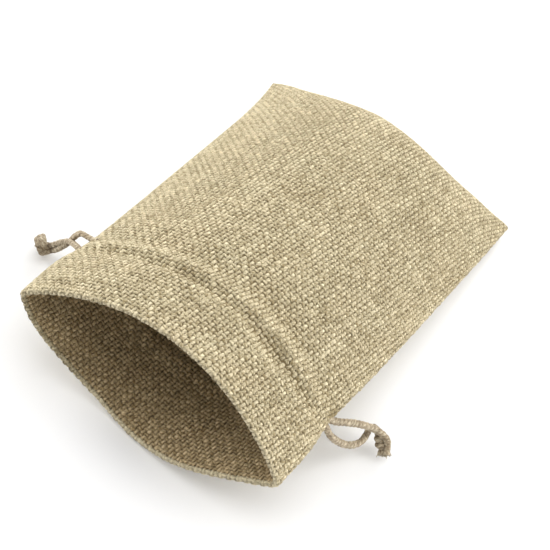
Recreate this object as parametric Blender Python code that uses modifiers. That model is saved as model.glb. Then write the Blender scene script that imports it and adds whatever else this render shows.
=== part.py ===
"""A small drawstring sack of coarse plain-woven cloth, lying on its back panel with its mouth held open.

The sack is one length of cloth, folded across at the closed end and sewn up both sides. Its mouth edge is
turned in, and two stitch rows below it hold a channel for the drawstrings. A knotted tie comes out of the
channel at each side seam and rests on the surface beside the sack.

Frame: +X across the sack, +Y from the mouth to the closed end, +Z up. The origin is under the middle of the
sack, on the surface that it lies on. The tables and the named lengths are in millimetres.
"""

import math
from collections import namedtuple

import bmesh
import bpy
from mathutils import Vector

MM = 0.001

# Cloth thickness: two layers in the turned-in hem, one beyond it, pressed thin at the closed end's fold
HEM_WALL = 2.0
CLOTH_WALL = 1.5
HEM_DEPTH = 34.0
LAYER_STEP = 6.0
FOLD_WALL = 1.0
FOLD_START = 130.0

# How far towards -Y the mouth corners lie from the origin
MOUTH_REACH = 67.95

# The side edges are rounded where this power of the width share falls off
EDGE_POWER = 40.0

# Ties: the cord, the gap it keeps to what it meets, and the knot that holds its two strands
CORD_DIAMETER = 2.0
POINT_STEP = 2.2
SEAT_GAP = 0.3
KNOT_HALF_LENGTH = 2.3
KNOT_CORE = 2.4
KNOT_WRAP = 1.1
STRAND_SPREAD = 1.35
KNOT_APPROACH = 1.2
KNOT_TURN_STEPS = 16

# One row for each shaped section of the sack, from the mouth to the closed end.
#   y                distance of the side seams from the mouth corners
#   left_x, right_x  places of the side seams across the sack
#   left_z, right_z  heights of the side seams
#   crown            height of the front panel along its middle
#   arch             power of the front panel's arch, larger is flatter on top
#   lift             height of the back panel along its middle
#   floor            share of the back panel's width that lies flat
#   rise             power of the back panel's rise to the seams
#   edge             radius of the rounded side edges
#   front_y, back_y  how far the middles of the two panels are set towards +Y
Section = namedtuple(
    "Section", "y left_x right_x left_z right_z crown arch lift floor rise edge front_y back_y"
)
SECTIONS = (
    Section(0.0, -43.1, 43.1, 26.6, 22.3, 44.1, 2.10, 0.0, 0.04, 1.58, 1.8, 6.0, -2.8),
    Section(15.0, -43.6, 43.5, 24.6, 20.6, 42.8, 2.10, 0.0, 0.08, 1.65, 1.8, 5.6, -2.6),
    Section(26.0, -42.8, 43.3, 22.9, 19.4, 41.0, 2.10, 0.0, 0.14, 1.70, 1.8, 5.2, -2.4),
    Section(45.0, -43.3, 44.8, 19.6, 16.8, 39.0, 2.15, 0.0, 0.26, 1.80, 1.9, 4.4, -2.0),
    Section(70.0, -45.0, 46.3, 14.6, 12.6, 36.2, 2.20, 0.0, 0.40, 2.00, 2.0, 3.2, -1.4),
    Section(95.0, -46.4, 47.6, 9.8, 8.8, 33.6, 2.20, 0.0, 0.52, 2.00, 2.0, 1.6, -0.8),
    Section(113.0, -47.0, 48.4, 6.4, 6.0, 31.0, 2.20, 0.0, 0.56, 2.00, 2.0, 0.0, -0.6),
    Section(125.0, -47.7, 49.0, 4.6, 4.4, 28.2, 2.15, 0.0, 0.54, 2.00, 2.0, -1.2, -1.0),
    Section(132.0, -48.7, 49.4, 3.6, 3.6, 24.4, 2.10, 0.8, 0.40, 2.00, 1.9, -2.2, -1.8),
    Section(136.2, -49.6, 49.8, 3.0, 3.0, 18.8, 2.05, 3.2, 0.20, 2.00, 1.8, -2.8, -2.5),
    Section(137.9, -49.9, 50.0, 2.7, 2.7, 15.0, 2.02, 6.6, 0.08, 2.00, 1.3, -2.9, -2.9),
    Section(138.7, -50.0, 50.0, 2.6, 2.6, 10.4, 2.00, 10.4, 0.00, 2.00, 0.0, -3.0, -3.0),
)

# Distances from the mouth at which the cloth has a row of points
STATIONS = (
    0.0, 3.0, 7.0, 11.0, 15.0, 18.0, 20.3, 22.3, 24.2, 26.2, 28.2, 30.2, 32.2, 35.0, 39.0, 44.0,
    50.0, 57.0, 64.0, 72.0, 80.0, 88.0, 96.0, 104.0, 111.0, 117.0, 122.0, 126.5, 130.0, 133.0,
    135.0, 136.5, 137.6, 138.7,
)

# Places across the section, from the middle to a side seam, as shares of the half width
ACROSS_HALF = (0.0, 0.1, 0.2, 0.3, 0.4, 0.5, 0.6, 0.7, 0.78, 0.85, 0.91, 0.955, 0.985, 1.0)

# One row for each stitch row, ridge and fold of the front panel.
#   y            distance from the mouth
#   across       middle of the fold, as a share of the half width
#   reach        how far it spreads across, as a share of the half width
#   height       how far it stands above the panel, negative for a trough
#   width        how far it spreads along the sack
Fold = namedtuple("Fold", "y across reach height width")
FOLDS = (
    Fold(22.3, 0.00, 3.00, -0.9, 2.0),
    Fold(26.2, 0.00, 3.00, 0.9, 2.6),
    Fold(30.2, 0.00, 3.00, -0.8, 2.0),
    Fold(21.6, -0.16, 0.22, -0.9, 2.6),
    Fold(21.8, 0.55, 0.20, -1.6, 3.2),
    Fold(31.6, 0.12, 0.28, -0.7, 3.4),
    Fold(9.0, 0.14, 0.30, -1.1, 6.5),
    Fold(128.0, 0.62, 0.26, -1.8, 12.0),
)

# Routes of the tie strands, from the side seam to where they straighten into the knot
LEFT_FAR_ROUTE = (
    (-43.3, -38.5, 22.3), (-44.9, -38.5, 22.4), (-47.4, -38.0, 21.1), (-49.6, -37.6, 18.2),
    (-51.4, -37.4, 14.9), (-53.4, -37.2, 11.7), (-55.5, -36.8, 9.3),
)
LEFT_NEAR_ROUTE = (
    (-43.8, -44.3, 22.7), (-45.3, -43.0, 21.3), (-47.8, -41.3, 18.0), (-50.3, -40.5, 14.2),
    (-52.8, -39.9, 11.4), (-55.0, -39.2, 9.5),
)
RIGHT_FAR_ROUTE = (
    (44.5, -40.7, 19.0), (45.9, -38.9, 17.6), (47.3, -36.7, 15.5), (49.3, -33.3, 12.3),
    (51.4, -30.4, 10.0), (53.4, -28.4, 8.9),
)
RIGHT_NEAR_ROUTE = (
    (44.4, -44.4, 18.9), (45.8, -43.7, 16.2), (47.6, -41.4, 12.2), (49.4, -38.7, 8.7),
    (51.1, -35.7, 5.6), (52.2, -33.2, 4.3), (53.0, -31.1, 4.7),
)

# One row for each tie.
#   knot     middle of the knot
#   axis     direction in which the strands run through the knot
#   aside    direction in which the far strand lies from the near one
#   outer    radius of the knot
#   tail     how far the two cord ends stand out of the knot
#   flare    radius of the tail's end
Tie = namedtuple("Tie", "name knot axis aside outer tail flare far_route near_route")
TIES = (
    Tie(
        "left_tie", (-61.2, -39.0, 3.8), (-0.64, -0.28, -0.71), (0.1, 0.95, -0.1), 3.4, 0.8, 1.7,
        LEFT_FAR_ROUTE, LEFT_NEAR_ROUTE,
    ),
    Tie(
        "right_tie", (57.3, -28.7, 4.6), (0.74, -0.18, -0.64), (0.10, 0.70, 0.70), 2.8, 2.2, 2.0,
        RIGHT_FAR_ROUTE, RIGHT_NEAR_ROUTE,
    ),
)


def between(low, high, share):
    """The value a share of the way from low to high."""
    return low + (high - low) * share


def smooth_value(places, values, place):
    """The value at a place on a smooth curve through values given at rising places."""
    last = len(places) - 2
    i = next((k for k in range(last) if place < places[k + 1]), last)
    slopes = []
    for k in (i, i + 1):
        before = max(k - 1, 0)
        after = min(k + 1, len(places) - 1)
        slopes.append((values[after] - values[before]) / (places[after] - places[before]))
    span = places[i + 1] - places[i]
    t = (place - places[i]) / span
    start = values[i] * (1 + 2 * t) + slopes[0] * span * t
    end = values[i + 1] * (3 - 2 * t) - slopes[1] * span * (1 - t)
    return start * (1 - t) ** 2 + end * t**2


def section_at(y):
    """The sack's section at a distance from the mouth corners."""
    places = [row.y for row in SECTIONS]
    return Section(*(smooth_value(places, column, y) for column in zip(*SECTIONS)))


def seam_height(section, across):
    """The height between the two side seams at a place across the section."""
    return between(section.left_z, section.right_z, (across + 1) / 2)


def across_x(section, across):
    """The place along X of a share across the section."""
    return between(section.left_x, section.right_x, (across + 1) / 2)


def edge_round(section, across):
    """Half the sack's thickness where its side edges are rounded."""
    return section.edge * math.sqrt(max(0.0, 1 - abs(across) ** EDGE_POWER))


def fold_height(y, across):
    """How far folds and stitch rows raise the front panel."""
    height = 0.0
    for fold in FOLDS:
        along = (y - fold.y) / fold.width
        aside = (across - fold.across) / fold.reach
        height += fold.height * math.exp(-(along**2) - aside**2)
    return height


def front_point(section, across):
    """A point on the front panel's outer face."""
    seam = seam_height(section, across)
    arched = (section.crown - seam - section.edge) * (1 - abs(across) ** section.arch)
    folded = fold_height(section.y, across) * (1 - across**8)
    y = section.y - MOUTH_REACH + section.front_y * (1 - across**2)
    return Vector((across_x(section, across), y, seam + arched + edge_round(section, across) + folded))


def back_point(section, across):
    """A point on the back panel's outer face."""
    seam = seam_height(section, across)
    raised = max(0.0, (abs(across) - section.floor) / (1 - section.floor)) ** section.rise
    dropped = (seam - section.edge - max(0.0, section.lift)) * (1 - raised)
    y = section.y - MOUTH_REACH + section.back_y * (1 - across**2)
    return Vector((across_x(section, across), y, seam - dropped - edge_round(section, across)))


def wall_at(y):
    """The cloth's thickness at a distance from the mouth."""
    if y > FOLD_START:
        return between(CLOTH_WALL, FOLD_WALL, min((y - FOLD_START) / LAYER_STEP, 1.0))
    return between(HEM_WALL, CLOTH_WALL, min(max((y - HEM_DEPTH) / LAYER_STEP, 0.0), 1.0))


def cloth_skin():
    """The sack's outer face as an open surface, with the share of the hem's thickness at each point."""
    left = [-share for share in reversed(ACROSS_HALF[1:])]
    across = left + list(ACROSS_HALF)
    skin = bmesh.new()
    layers = skin.verts.layers.deform.verify()
    rings = []
    for y in STATIONS:
        section = section_at(y)
        points = [front_point(section, share) for share in across]
        if y < STATIONS[-1]:
            points += [back_point(section, share) for share in reversed(across[1:-1])]
        else:
            points += points[-2:0:-1]
        ring = [skin.verts.new(point * MM) for point in points]
        for vertex in ring:
            vertex[layers][0] = wall_at(y) / HEM_WALL
        rings.append(ring)
    count = len(rings[0])
    for near, far in zip(rings, rings[1:]):
        for i in range(count):
            j = (i + 1) % count
            skin.faces.new((near[i], near[j], far[j], far[i]))
    bmesh.ops.remove_doubles(skin, verts=rings[-1], dist=1e-6)
    return skin


def sack_cloth(collection, material):
    """The whole sack: its outer face, thickened inwards."""
    skin = cloth_skin()
    mesh = bpy.data.meshes.new("sack_cloth")
    skin.to_mesh(mesh)
    skin.free()
    mesh.materials.append(material)
    mesh.shade_smooth()
    sack = bpy.data.objects.new("sack_cloth", mesh)
    collection.objects.link(sack)
    sack.vertex_groups.new(name="layers")
    wall = sack.modifiers.new("wall", "SOLIDIFY")
    wall.thickness = HEM_WALL * MM
    wall.offset = -1.0
    wall.vertex_group = "layers"
    return sack


def route_points(route, step):
    """Points about a step apart on a smooth curve through a route."""
    lengths = [0.0]
    for start, end in zip(route, route[1:]):
        lengths.append(lengths[-1] + (Vector(end) - Vector(start)).length)
    count = max(2, round(lengths[-1] / step))
    places = [lengths[-1] * i / count for i in range(count + 1)]
    return [Vector([smooth_value(lengths, axis, place) for axis in zip(*route)]) for place in places]


def cord(name, route, face, collection, material):
    """A round cord along a route, and from its end straight to a knot's face."""
    curve = bpy.data.curves.new(name, "CURVE")
    curve.dimensions = "3D"
    curve.bevel_depth = CORD_DIAMETER / 2 * MM
    curve.bevel_resolution = 2
    curve.use_fill_caps = True
    points = [*route_points(route, POINT_STEP), face]
    spline = curve.splines.new("POLY")
    spline.points.add(len(points) - 1)
    for target, point in zip(spline.points, points):
        target.co = (*(point * MM), 1.0)
    curve.materials.append(material)
    tube = bpy.data.objects.new(name, curve)
    collection.objects.link(tube)
    return tube


def strand(tie, route, side, collection, material):
    """One of the two cords of a tie, which ends a little apart from the knot and square to its face."""
    axis = Vector(tie.axis).normalized()
    aside = Vector(tie.aside)
    aside = (aside - axis * aside.dot(axis)).normalized() * STRAND_SPREAD * side
    face = Vector(tie.knot) - axis * (KNOT_HALF_LENGTH + SEAT_GAP) + aside
    name = tie.name + ("_far" if side > 0 else "_near")
    return cord(name, (*route, face - axis * KNOT_APPROACH), face, collection, material)


def knot(tie, collection, material):
    """A knot of two turns of cord, turned about its axis, with the cord ends standing out of it."""
    turn = KNOT_HALF_LENGTH - KNOT_WRAP
    end = KNOT_HALF_LENGTH + tie.tail
    profile = (
        (0.0, -KNOT_HALF_LENGTH), (KNOT_CORE, -KNOT_HALF_LENGTH),
        (tie.outer, -turn), (tie.outer * 0.9, 0.0), (tie.outer, turn),
        (KNOT_CORE * 0.8, KNOT_HALF_LENGTH), (tie.flare, end), (0.0, end),
    )
    mesh = bpy.data.meshes.new(tie.name + "_knot")
    outline = bmesh.new()
    points = [outline.verts.new(Vector((radius, 0.0, place)) * MM) for radius, place in reversed(profile)]
    for start, stop in zip(points, points[1:]):
        outline.edges.new((start, stop))
    outline.to_mesh(mesh)
    outline.free()
    mesh.materials.append(material)
    body = bpy.data.objects.new(tie.name + "_knot", mesh)
    collection.objects.link(body)
    turned = body.modifiers.new("turned", "SCREW")
    turned.steps = KNOT_TURN_STEPS
    turned.render_steps = KNOT_TURN_STEPS
    turned.use_merge_vertices = True
    turned.merge_threshold = 0.00001
    turned.use_smooth_shade = True
    body.location = Vector(tie.knot) * MM
    body.rotation_euler = Vector(tie.axis).to_track_quat("Z", "Y").to_euler()
    return body


def finish(name, colour, roughness):
    """A plain cloth or cord finish."""
    material = bpy.data.materials.new(name)
    material.use_nodes = True
    shader = material.node_tree.nodes["Principled BSDF"]
    shader.inputs["Base Color"].default_value = (*colour, 1.0)
    shader.inputs["Roughness"].default_value = roughness
    shader.inputs["Metallic"].default_value = 0.0
    return material


def main():
    for old in list(bpy.data.objects):
        bpy.data.objects.remove(old)
    parts = bpy.data.collections.new("burlap_sack")
    bpy.context.scene.collection.children.link(parts)
    straw_cloth = finish("straw_cloth", (0.56, 0.48, 0.32), 0.92)
    brown_cord = finish("brown_cord", (0.42, 0.32, 0.21), 0.85)
    sack_cloth(parts, straw_cloth)
    for tie in TIES:
        strand(tie, tie.far_route, 1, parts, brown_cord)
        strand(tie, tie.near_route, -1, parts, brown_cord)
        knot(tie, parts, brown_cord)


main()
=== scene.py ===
"""Looks of a small burlap drawstring sack, lying on its back with its mouth held open.

The cloth is woven yarn by yarn: every warp and weft yarn is its own slubby tube, laid over and under its
neighbours on the sack's folds. The mouth edge is turned in and sewn down with two stitch rows, which hold the
channel of the drawstrings. A braided cord leaves the channel at each side seam as two strands, which end in a
knot.

Lengths are in millimetres, and become metres where a mesh is made. TINY is a length too small to be seen.
"""

import logging
import math
from dataclasses import dataclass, fields, replace
from enum import Enum

import bpy
import numpy as np
from mathutils import Matrix, Vector


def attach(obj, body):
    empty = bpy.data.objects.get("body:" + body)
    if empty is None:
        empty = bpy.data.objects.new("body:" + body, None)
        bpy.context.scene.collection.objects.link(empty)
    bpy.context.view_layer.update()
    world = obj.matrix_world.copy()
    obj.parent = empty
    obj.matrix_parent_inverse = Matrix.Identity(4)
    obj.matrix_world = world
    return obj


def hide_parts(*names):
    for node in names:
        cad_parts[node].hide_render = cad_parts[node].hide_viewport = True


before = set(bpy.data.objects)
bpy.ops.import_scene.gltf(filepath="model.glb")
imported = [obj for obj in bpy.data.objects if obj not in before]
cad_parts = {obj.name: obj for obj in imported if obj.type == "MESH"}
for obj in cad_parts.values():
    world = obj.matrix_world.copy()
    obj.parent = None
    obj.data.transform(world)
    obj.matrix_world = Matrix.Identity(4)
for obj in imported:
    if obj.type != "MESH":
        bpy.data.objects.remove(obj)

MM = 0.001
TINY = 0.01
ROOT = "root"
log = logging.getLogger("burlap_sack")


# ---------------------------------------------------------------- the sack's form


@dataclass(frozen=True)
class Section:
    """One shaped section across the sack.

    Attributes:
        y: distance of the side seams from the mouth corners.
        left_x: place of the left seam across the sack.
        right_x: place of the right seam across the sack.
        left_z: height of the left seam.
        right_z: height of the right seam.
        crown: height of the front panel along its middle.
        arch: power of the front panel's arch, larger is flatter on top.
        lift: height of the back panel along its middle.
        floor: share of the back panel's width that lies flat.
        rise: power of the back panel's rise to the seams.
        edge: radius of the rounded side edges.
        front_y: how far the middle of the front panel is set towards +Y.
        back_y: how far the middle of the back panel is set towards +Y.
    """

    y: float
    left_x: float
    right_x: float
    left_z: float
    right_z: float
    crown: float
    arch: float
    lift: float
    floor: float
    rise: float
    edge: float
    front_y: float
    back_y: float


@dataclass(frozen=True)
class Fold:
    """A soft ridge or trough of the front panel.

    Attributes:
        y: distance from the mouth.
        across: middle of the fold, as a share of the half width.
        reach: how far it spreads across, as a share of the half width.
        height: how far it stands above the panel, negative for a trough.
        width: how far it spreads along the sack.
    """

    y: float
    across: float
    reach: float
    height: float
    width: float


@dataclass(frozen=True)
class Bow:
    """A stretch where a panel's end lies further out or in than its even curve.

    Attributes:
        y: distance from the mouth, at the mouth edge or the closed end.
        fronts: which panels have it, True for the front one.
        across: its middle, as a share of the half width.
        reach: how far it spreads across, as a share of the half width.
        shift: how far it moves the cloth towards +Y.
        width: how far it spreads along the sack.
    """

    y: float
    fronts: tuple[bool, ...]
    across: float
    reach: float
    shift: float
    width: float


SECTIONS = (
    # y, left_x, right_x, left_z, right_z, crown, arch, lift, floor, rise, edge, front_y, back_y
    Section(0.0, -43.9, 43.5, 26.4, 22.3, 44.1, 2.10, 0.0, 0.04, 1.58, 1.8, 6.4, -2.8),
    Section(15.0, -44.3, 44.3, 24.6, 20.6, 42.8, 2.10, 0.0, 0.08, 1.65, 1.8, 5.9, -2.6),
    Section(26.0, -42.8, 43.6, 22.9, 19.4, 41.0, 2.10, 0.0, 0.14, 1.70, 1.8, 5.2, -2.4),
    Section(45.0, -43.0, 45.1, 19.6, 16.8, 39.0, 2.15, 0.0, 0.26, 1.80, 1.9, 4.4, -2.0),
    Section(70.0, -44.2, 46.6, 14.6, 12.6, 36.2, 2.20, 0.0, 0.40, 2.00, 2.0, 3.2, -1.4),
    Section(95.0, -45.3, 47.9, 9.8, 8.8, 33.6, 2.20, 0.0, 0.52, 2.00, 2.0, 1.6, -0.8),
    Section(113.0, -46.2, 48.8, 6.4, 6.0, 31.0, 2.20, 0.0, 0.56, 2.00, 2.0, 0.0, -0.6),
    Section(125.0, -47.2, 49.4, 4.6, 4.4, 28.2, 2.15, 0.0, 0.54, 2.00, 2.0, -1.2, -1.0),
    Section(132.0, -48.2, 49.6, 3.6, 3.6, 24.4, 2.10, 0.8, 0.40, 2.00, 1.9, -2.2, -1.8),
    Section(136.2, -49.0, 49.8, 3.0, 3.0, 18.8, 2.05, 3.2, 0.20, 2.00, 1.8, -2.8, -2.5),
    Section(137.9, -49.1, 49.7, 2.7, 2.7, 15.0, 2.02, 6.6, 0.08, 2.00, 1.3, -2.9, -2.9),
    Section(138.7, -48.5, 49.1, 2.6, 2.6, 10.4, 2.00, 10.4, 0.00, 2.00, 0.0, -3.0, -3.0),
)

FOLDS = (
    # y, across, reach, height, width
    Fold(20.6, 0.00, 3.00, -0.85, 1.7),
    Fold(24.6, 0.00, 3.00, 0.78, 1.9),
    Fold(28.8, 0.00, 3.00, -0.60, 2.4),
    Fold(31.4, 0.00, 3.00, -0.40, 3.2),
    Fold(20.8, -0.20, 0.30, -0.45, 1.6),
    Fold(19.7, 0.52, 0.20, -1.80, 2.8),
    Fold(20.8, 0.84, 0.16, -0.55, 1.7),
    Fold(24.6, 0.18, 0.24, -0.28, 2.0),
    Fold(24.4, 0.50, 0.22, 0.30, 2.0),
    Fold(14.0, 0.56, 0.30, -0.80, 5.0),
    Fold(16.6, -0.64, 0.26, -0.50, 4.2),
    Fold(7.5, -0.64, 0.26, 0.30, 4.0),
    Fold(32.0, 0.12, 0.28, -0.50, 3.4),
    Fold(9.0, 0.14, 0.30, -1.10, 6.5),
    Fold(128.0, 0.62, 0.26, -1.80, 12.0),
)

BOWS = (
    # y, fronts, across, reach, shift, width
    Bow(0.0, (False,), -0.88, 0.20, -1.3, 12.0),
    Bow(0.0, (False,), -0.33, 0.22, 0.8, 12.0),
    Bow(0.0, (False,), 0.36, 0.33, -1.65, 14.0),
    Bow(138.7, (True, False), -0.85, 0.12, 0.5, 9.0),
    Bow(138.7, (True, False), -0.50, 0.14, -0.3, 9.0),
    Bow(138.7, (True, False), -0.10, 0.20, 1.2, 12.0),
    Bow(138.7, (True, False), 0.37, 0.22, -0.85, 12.0),
    Bow(138.7, (True, False), 0.88, 0.12, -0.7, 9.0),
)


def unit(vectors: np.ndarray) -> np.ndarray:
    """Vectors at length one."""
    return vectors / np.maximum(np.linalg.norm(vectors, axis=-1, keepdims=True), 1e-12)


def smooth_values(places: np.ndarray, values: np.ndarray, at: np.ndarray) -> np.ndarray:
    """Values on a smooth curve through values at rising places.

    Args:
        places: rising places.
        values: the value at each of them.
        at: where the curve is read.

    Returns:
        The curve's values there.
    """
    count = len(places)
    before = np.maximum(np.arange(count) - 1, 0)
    after = np.minimum(np.arange(count) + 1, count - 1)
    slopes = (values[after] - values[before]) / (places[after] - places[before])
    i = np.clip(np.searchsorted(places, at, side="right") - 1, 0, count - 2)
    span = places[i + 1] - places[i]
    t = (at - places[i]) / span
    start = values[i] * (1 + 2 * t) + slopes[i] * span * t
    end = values[i + 1] * (3 - 2 * t) - slopes[i + 1] * span * (1 - t)
    return start * (1 - t) ** 2 + end * t**2


@dataclass(frozen=True)
class SackShape:
    """The sack's outer face: two panels between the side seams.

    Attributes:
        sections: the shaped sections from the mouth to the closed end.
        folds: the soft folds of the front panel.
        bows: where the ends of the panels lie further out or in.
        mouth_reach: how far towards -Y the mouth corners lie from the origin.
        edge_power: power of the width share where the side edges are rounded.
        fold_fade: power of the width share with which the folds fade out at the side seams.
        bow_fade: power of the width share with which the bows do.
    """

    sections: tuple[Section, ...] = SECTIONS
    folds: tuple[Fold, ...] = FOLDS
    bows: tuple[Bow, ...] = BOWS
    mouth_reach: float = 67.95
    edge_power: float = 40.0
    fold_fade: int = 8
    bow_fade: int = 12

    @property
    def length(self) -> float:
        """Distance from the mouth corners to the closed end."""
        return self.sections[-1].y

    def values(self, y: np.ndarray) -> dict[str, np.ndarray]:
        """Every section value at distances from the mouth.

        Args:
            y: distances, one for each row.

        Returns:
            Columns of values, by their names.
        """
        places = np.array([row.y for row in self.sections])
        found = {}
        for item in fields(Section):
            column = np.array([getattr(row, item.name) for row in self.sections])
            found[item.name] = smooth_values(places, column, y)[:, None]
        return found

    def fold_height(self, y: np.ndarray, across: np.ndarray) -> np.ndarray:
        """How far the folds raise the front panel.

        Args:
            y: distances from the mouth.
            across: shares of the half width.

        Returns:
            Heights above the panel.
        """
        height = np.zeros(np.broadcast(y, across).shape)
        for fold in self.folds:
            along = (y - fold.y) / fold.width
            aside = (across - fold.across) / fold.reach
            height += fold.height * np.exp(-(along**2) - aside**2)
        return height

    def bowed(self, y: np.ndarray, across: np.ndarray, front: bool) -> np.ndarray:
        """How far the bows move a panel towards +Y.

        Args:
            y: distances from the mouth.
            across: shares of the half width.
            front: True for the front panel.

        Returns:
            Shifts, none at the side seams.
        """
        shift = np.zeros(np.broadcast(y, across).shape)
        for bow in self.bows:
            if front in bow.fronts:
                along = (y - bow.y) / bow.width
                aside = (across - bow.across) / bow.reach
                shift += bow.shift * np.exp(-(along**2) - aside**2)
        return shift * (1 - across**self.bow_fade)

    def panel(self, y: np.ndarray, across: np.ndarray, front: bool) -> np.ndarray:
        """Points on one panel's outer face.

        Args:
            y: distances from the mouth, one for each row.
            across: shares of the half width, one for each column.
            front: True for the front panel.

        Returns:
            Points, in rows and columns.
        """
        row = self.values(y)
        t = across[None, :]
        x = row["left_x"] + (row["right_x"] - row["left_x"]) * (t + 1) / 2
        seam = row["left_z"] + (row["right_z"] - row["left_z"]) * (t + 1) / 2
        rounded = row["edge"] * np.sqrt(np.maximum(0.0, 1 - np.abs(t) ** self.edge_power))
        if front:
            arched = (row["crown"] - seam - row["edge"]) * (1 - np.abs(t) ** row["arch"])
            folded = self.fold_height(y[:, None], t) * (1 - t**self.fold_fade)
            z = seam + arched + rounded + folded
            shift = row["front_y"]
        else:
            share = np.maximum(0.0, (np.abs(t) - row["floor"]) / (1 - row["floor"]))
            dropped = (seam - row["edge"] - np.maximum(0.0, row["lift"])) * (1 - share ** row["rise"])
            z = seam - dropped - rounded
            shift = row["back_y"]
        along = y[:, None] - self.mouth_reach + shift * (1 - t**2) + self.bowed(y[:, None], t, front)
        return np.stack([x, along, z], axis=-1)


def run_lengths(points: np.ndarray) -> np.ndarray:
    """How far along its line each point lies.

    Args:
        points: the points of one line, or of several by line and place.

    Returns:
        Lengths from the lines' first points.
    """
    steps = np.linalg.norm(np.diff(points, axis=-2), axis=-1)
    return np.concatenate([np.zeros((*steps.shape[:-1], 1)), np.cumsum(steps, axis=-1)], axis=-1)


def read_line(points: np.ndarray, length: np.ndarray, at: np.ndarray) -> np.ndarray:
    """Points on a line at lengths along it, where the line's own points lie at given lengths."""
    return np.stack([np.interp(at, length, points[:, axis]) for axis in range(3)], axis=1)


def evenly(
    points: np.ndarray, count: int, carried: np.ndarray | None = None
) -> tuple[np.ndarray, np.ndarray | None]:
    """A line of points read again at even steps of its length.

    Args:
        points: the points.
        count: how many points the new line has.
        carried: a value at each point, which the new line takes along.

    Returns:
        The new points, and the carried values at them.
    """
    length = run_lengths(points)
    at = np.linspace(0.0, length[-1], count)
    return read_line(points, length, at), None if carried is None else np.interp(at, length, carried)


class Part(Enum):
    """The stretches of the cloth, in their order along a warp yarn."""

    FRONT_HEM = "front_hem"
    FRONT_PANEL = "front_panel"
    BACK_PANEL = "back_panel"
    BACK_HEM = "back_hem"


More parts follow.
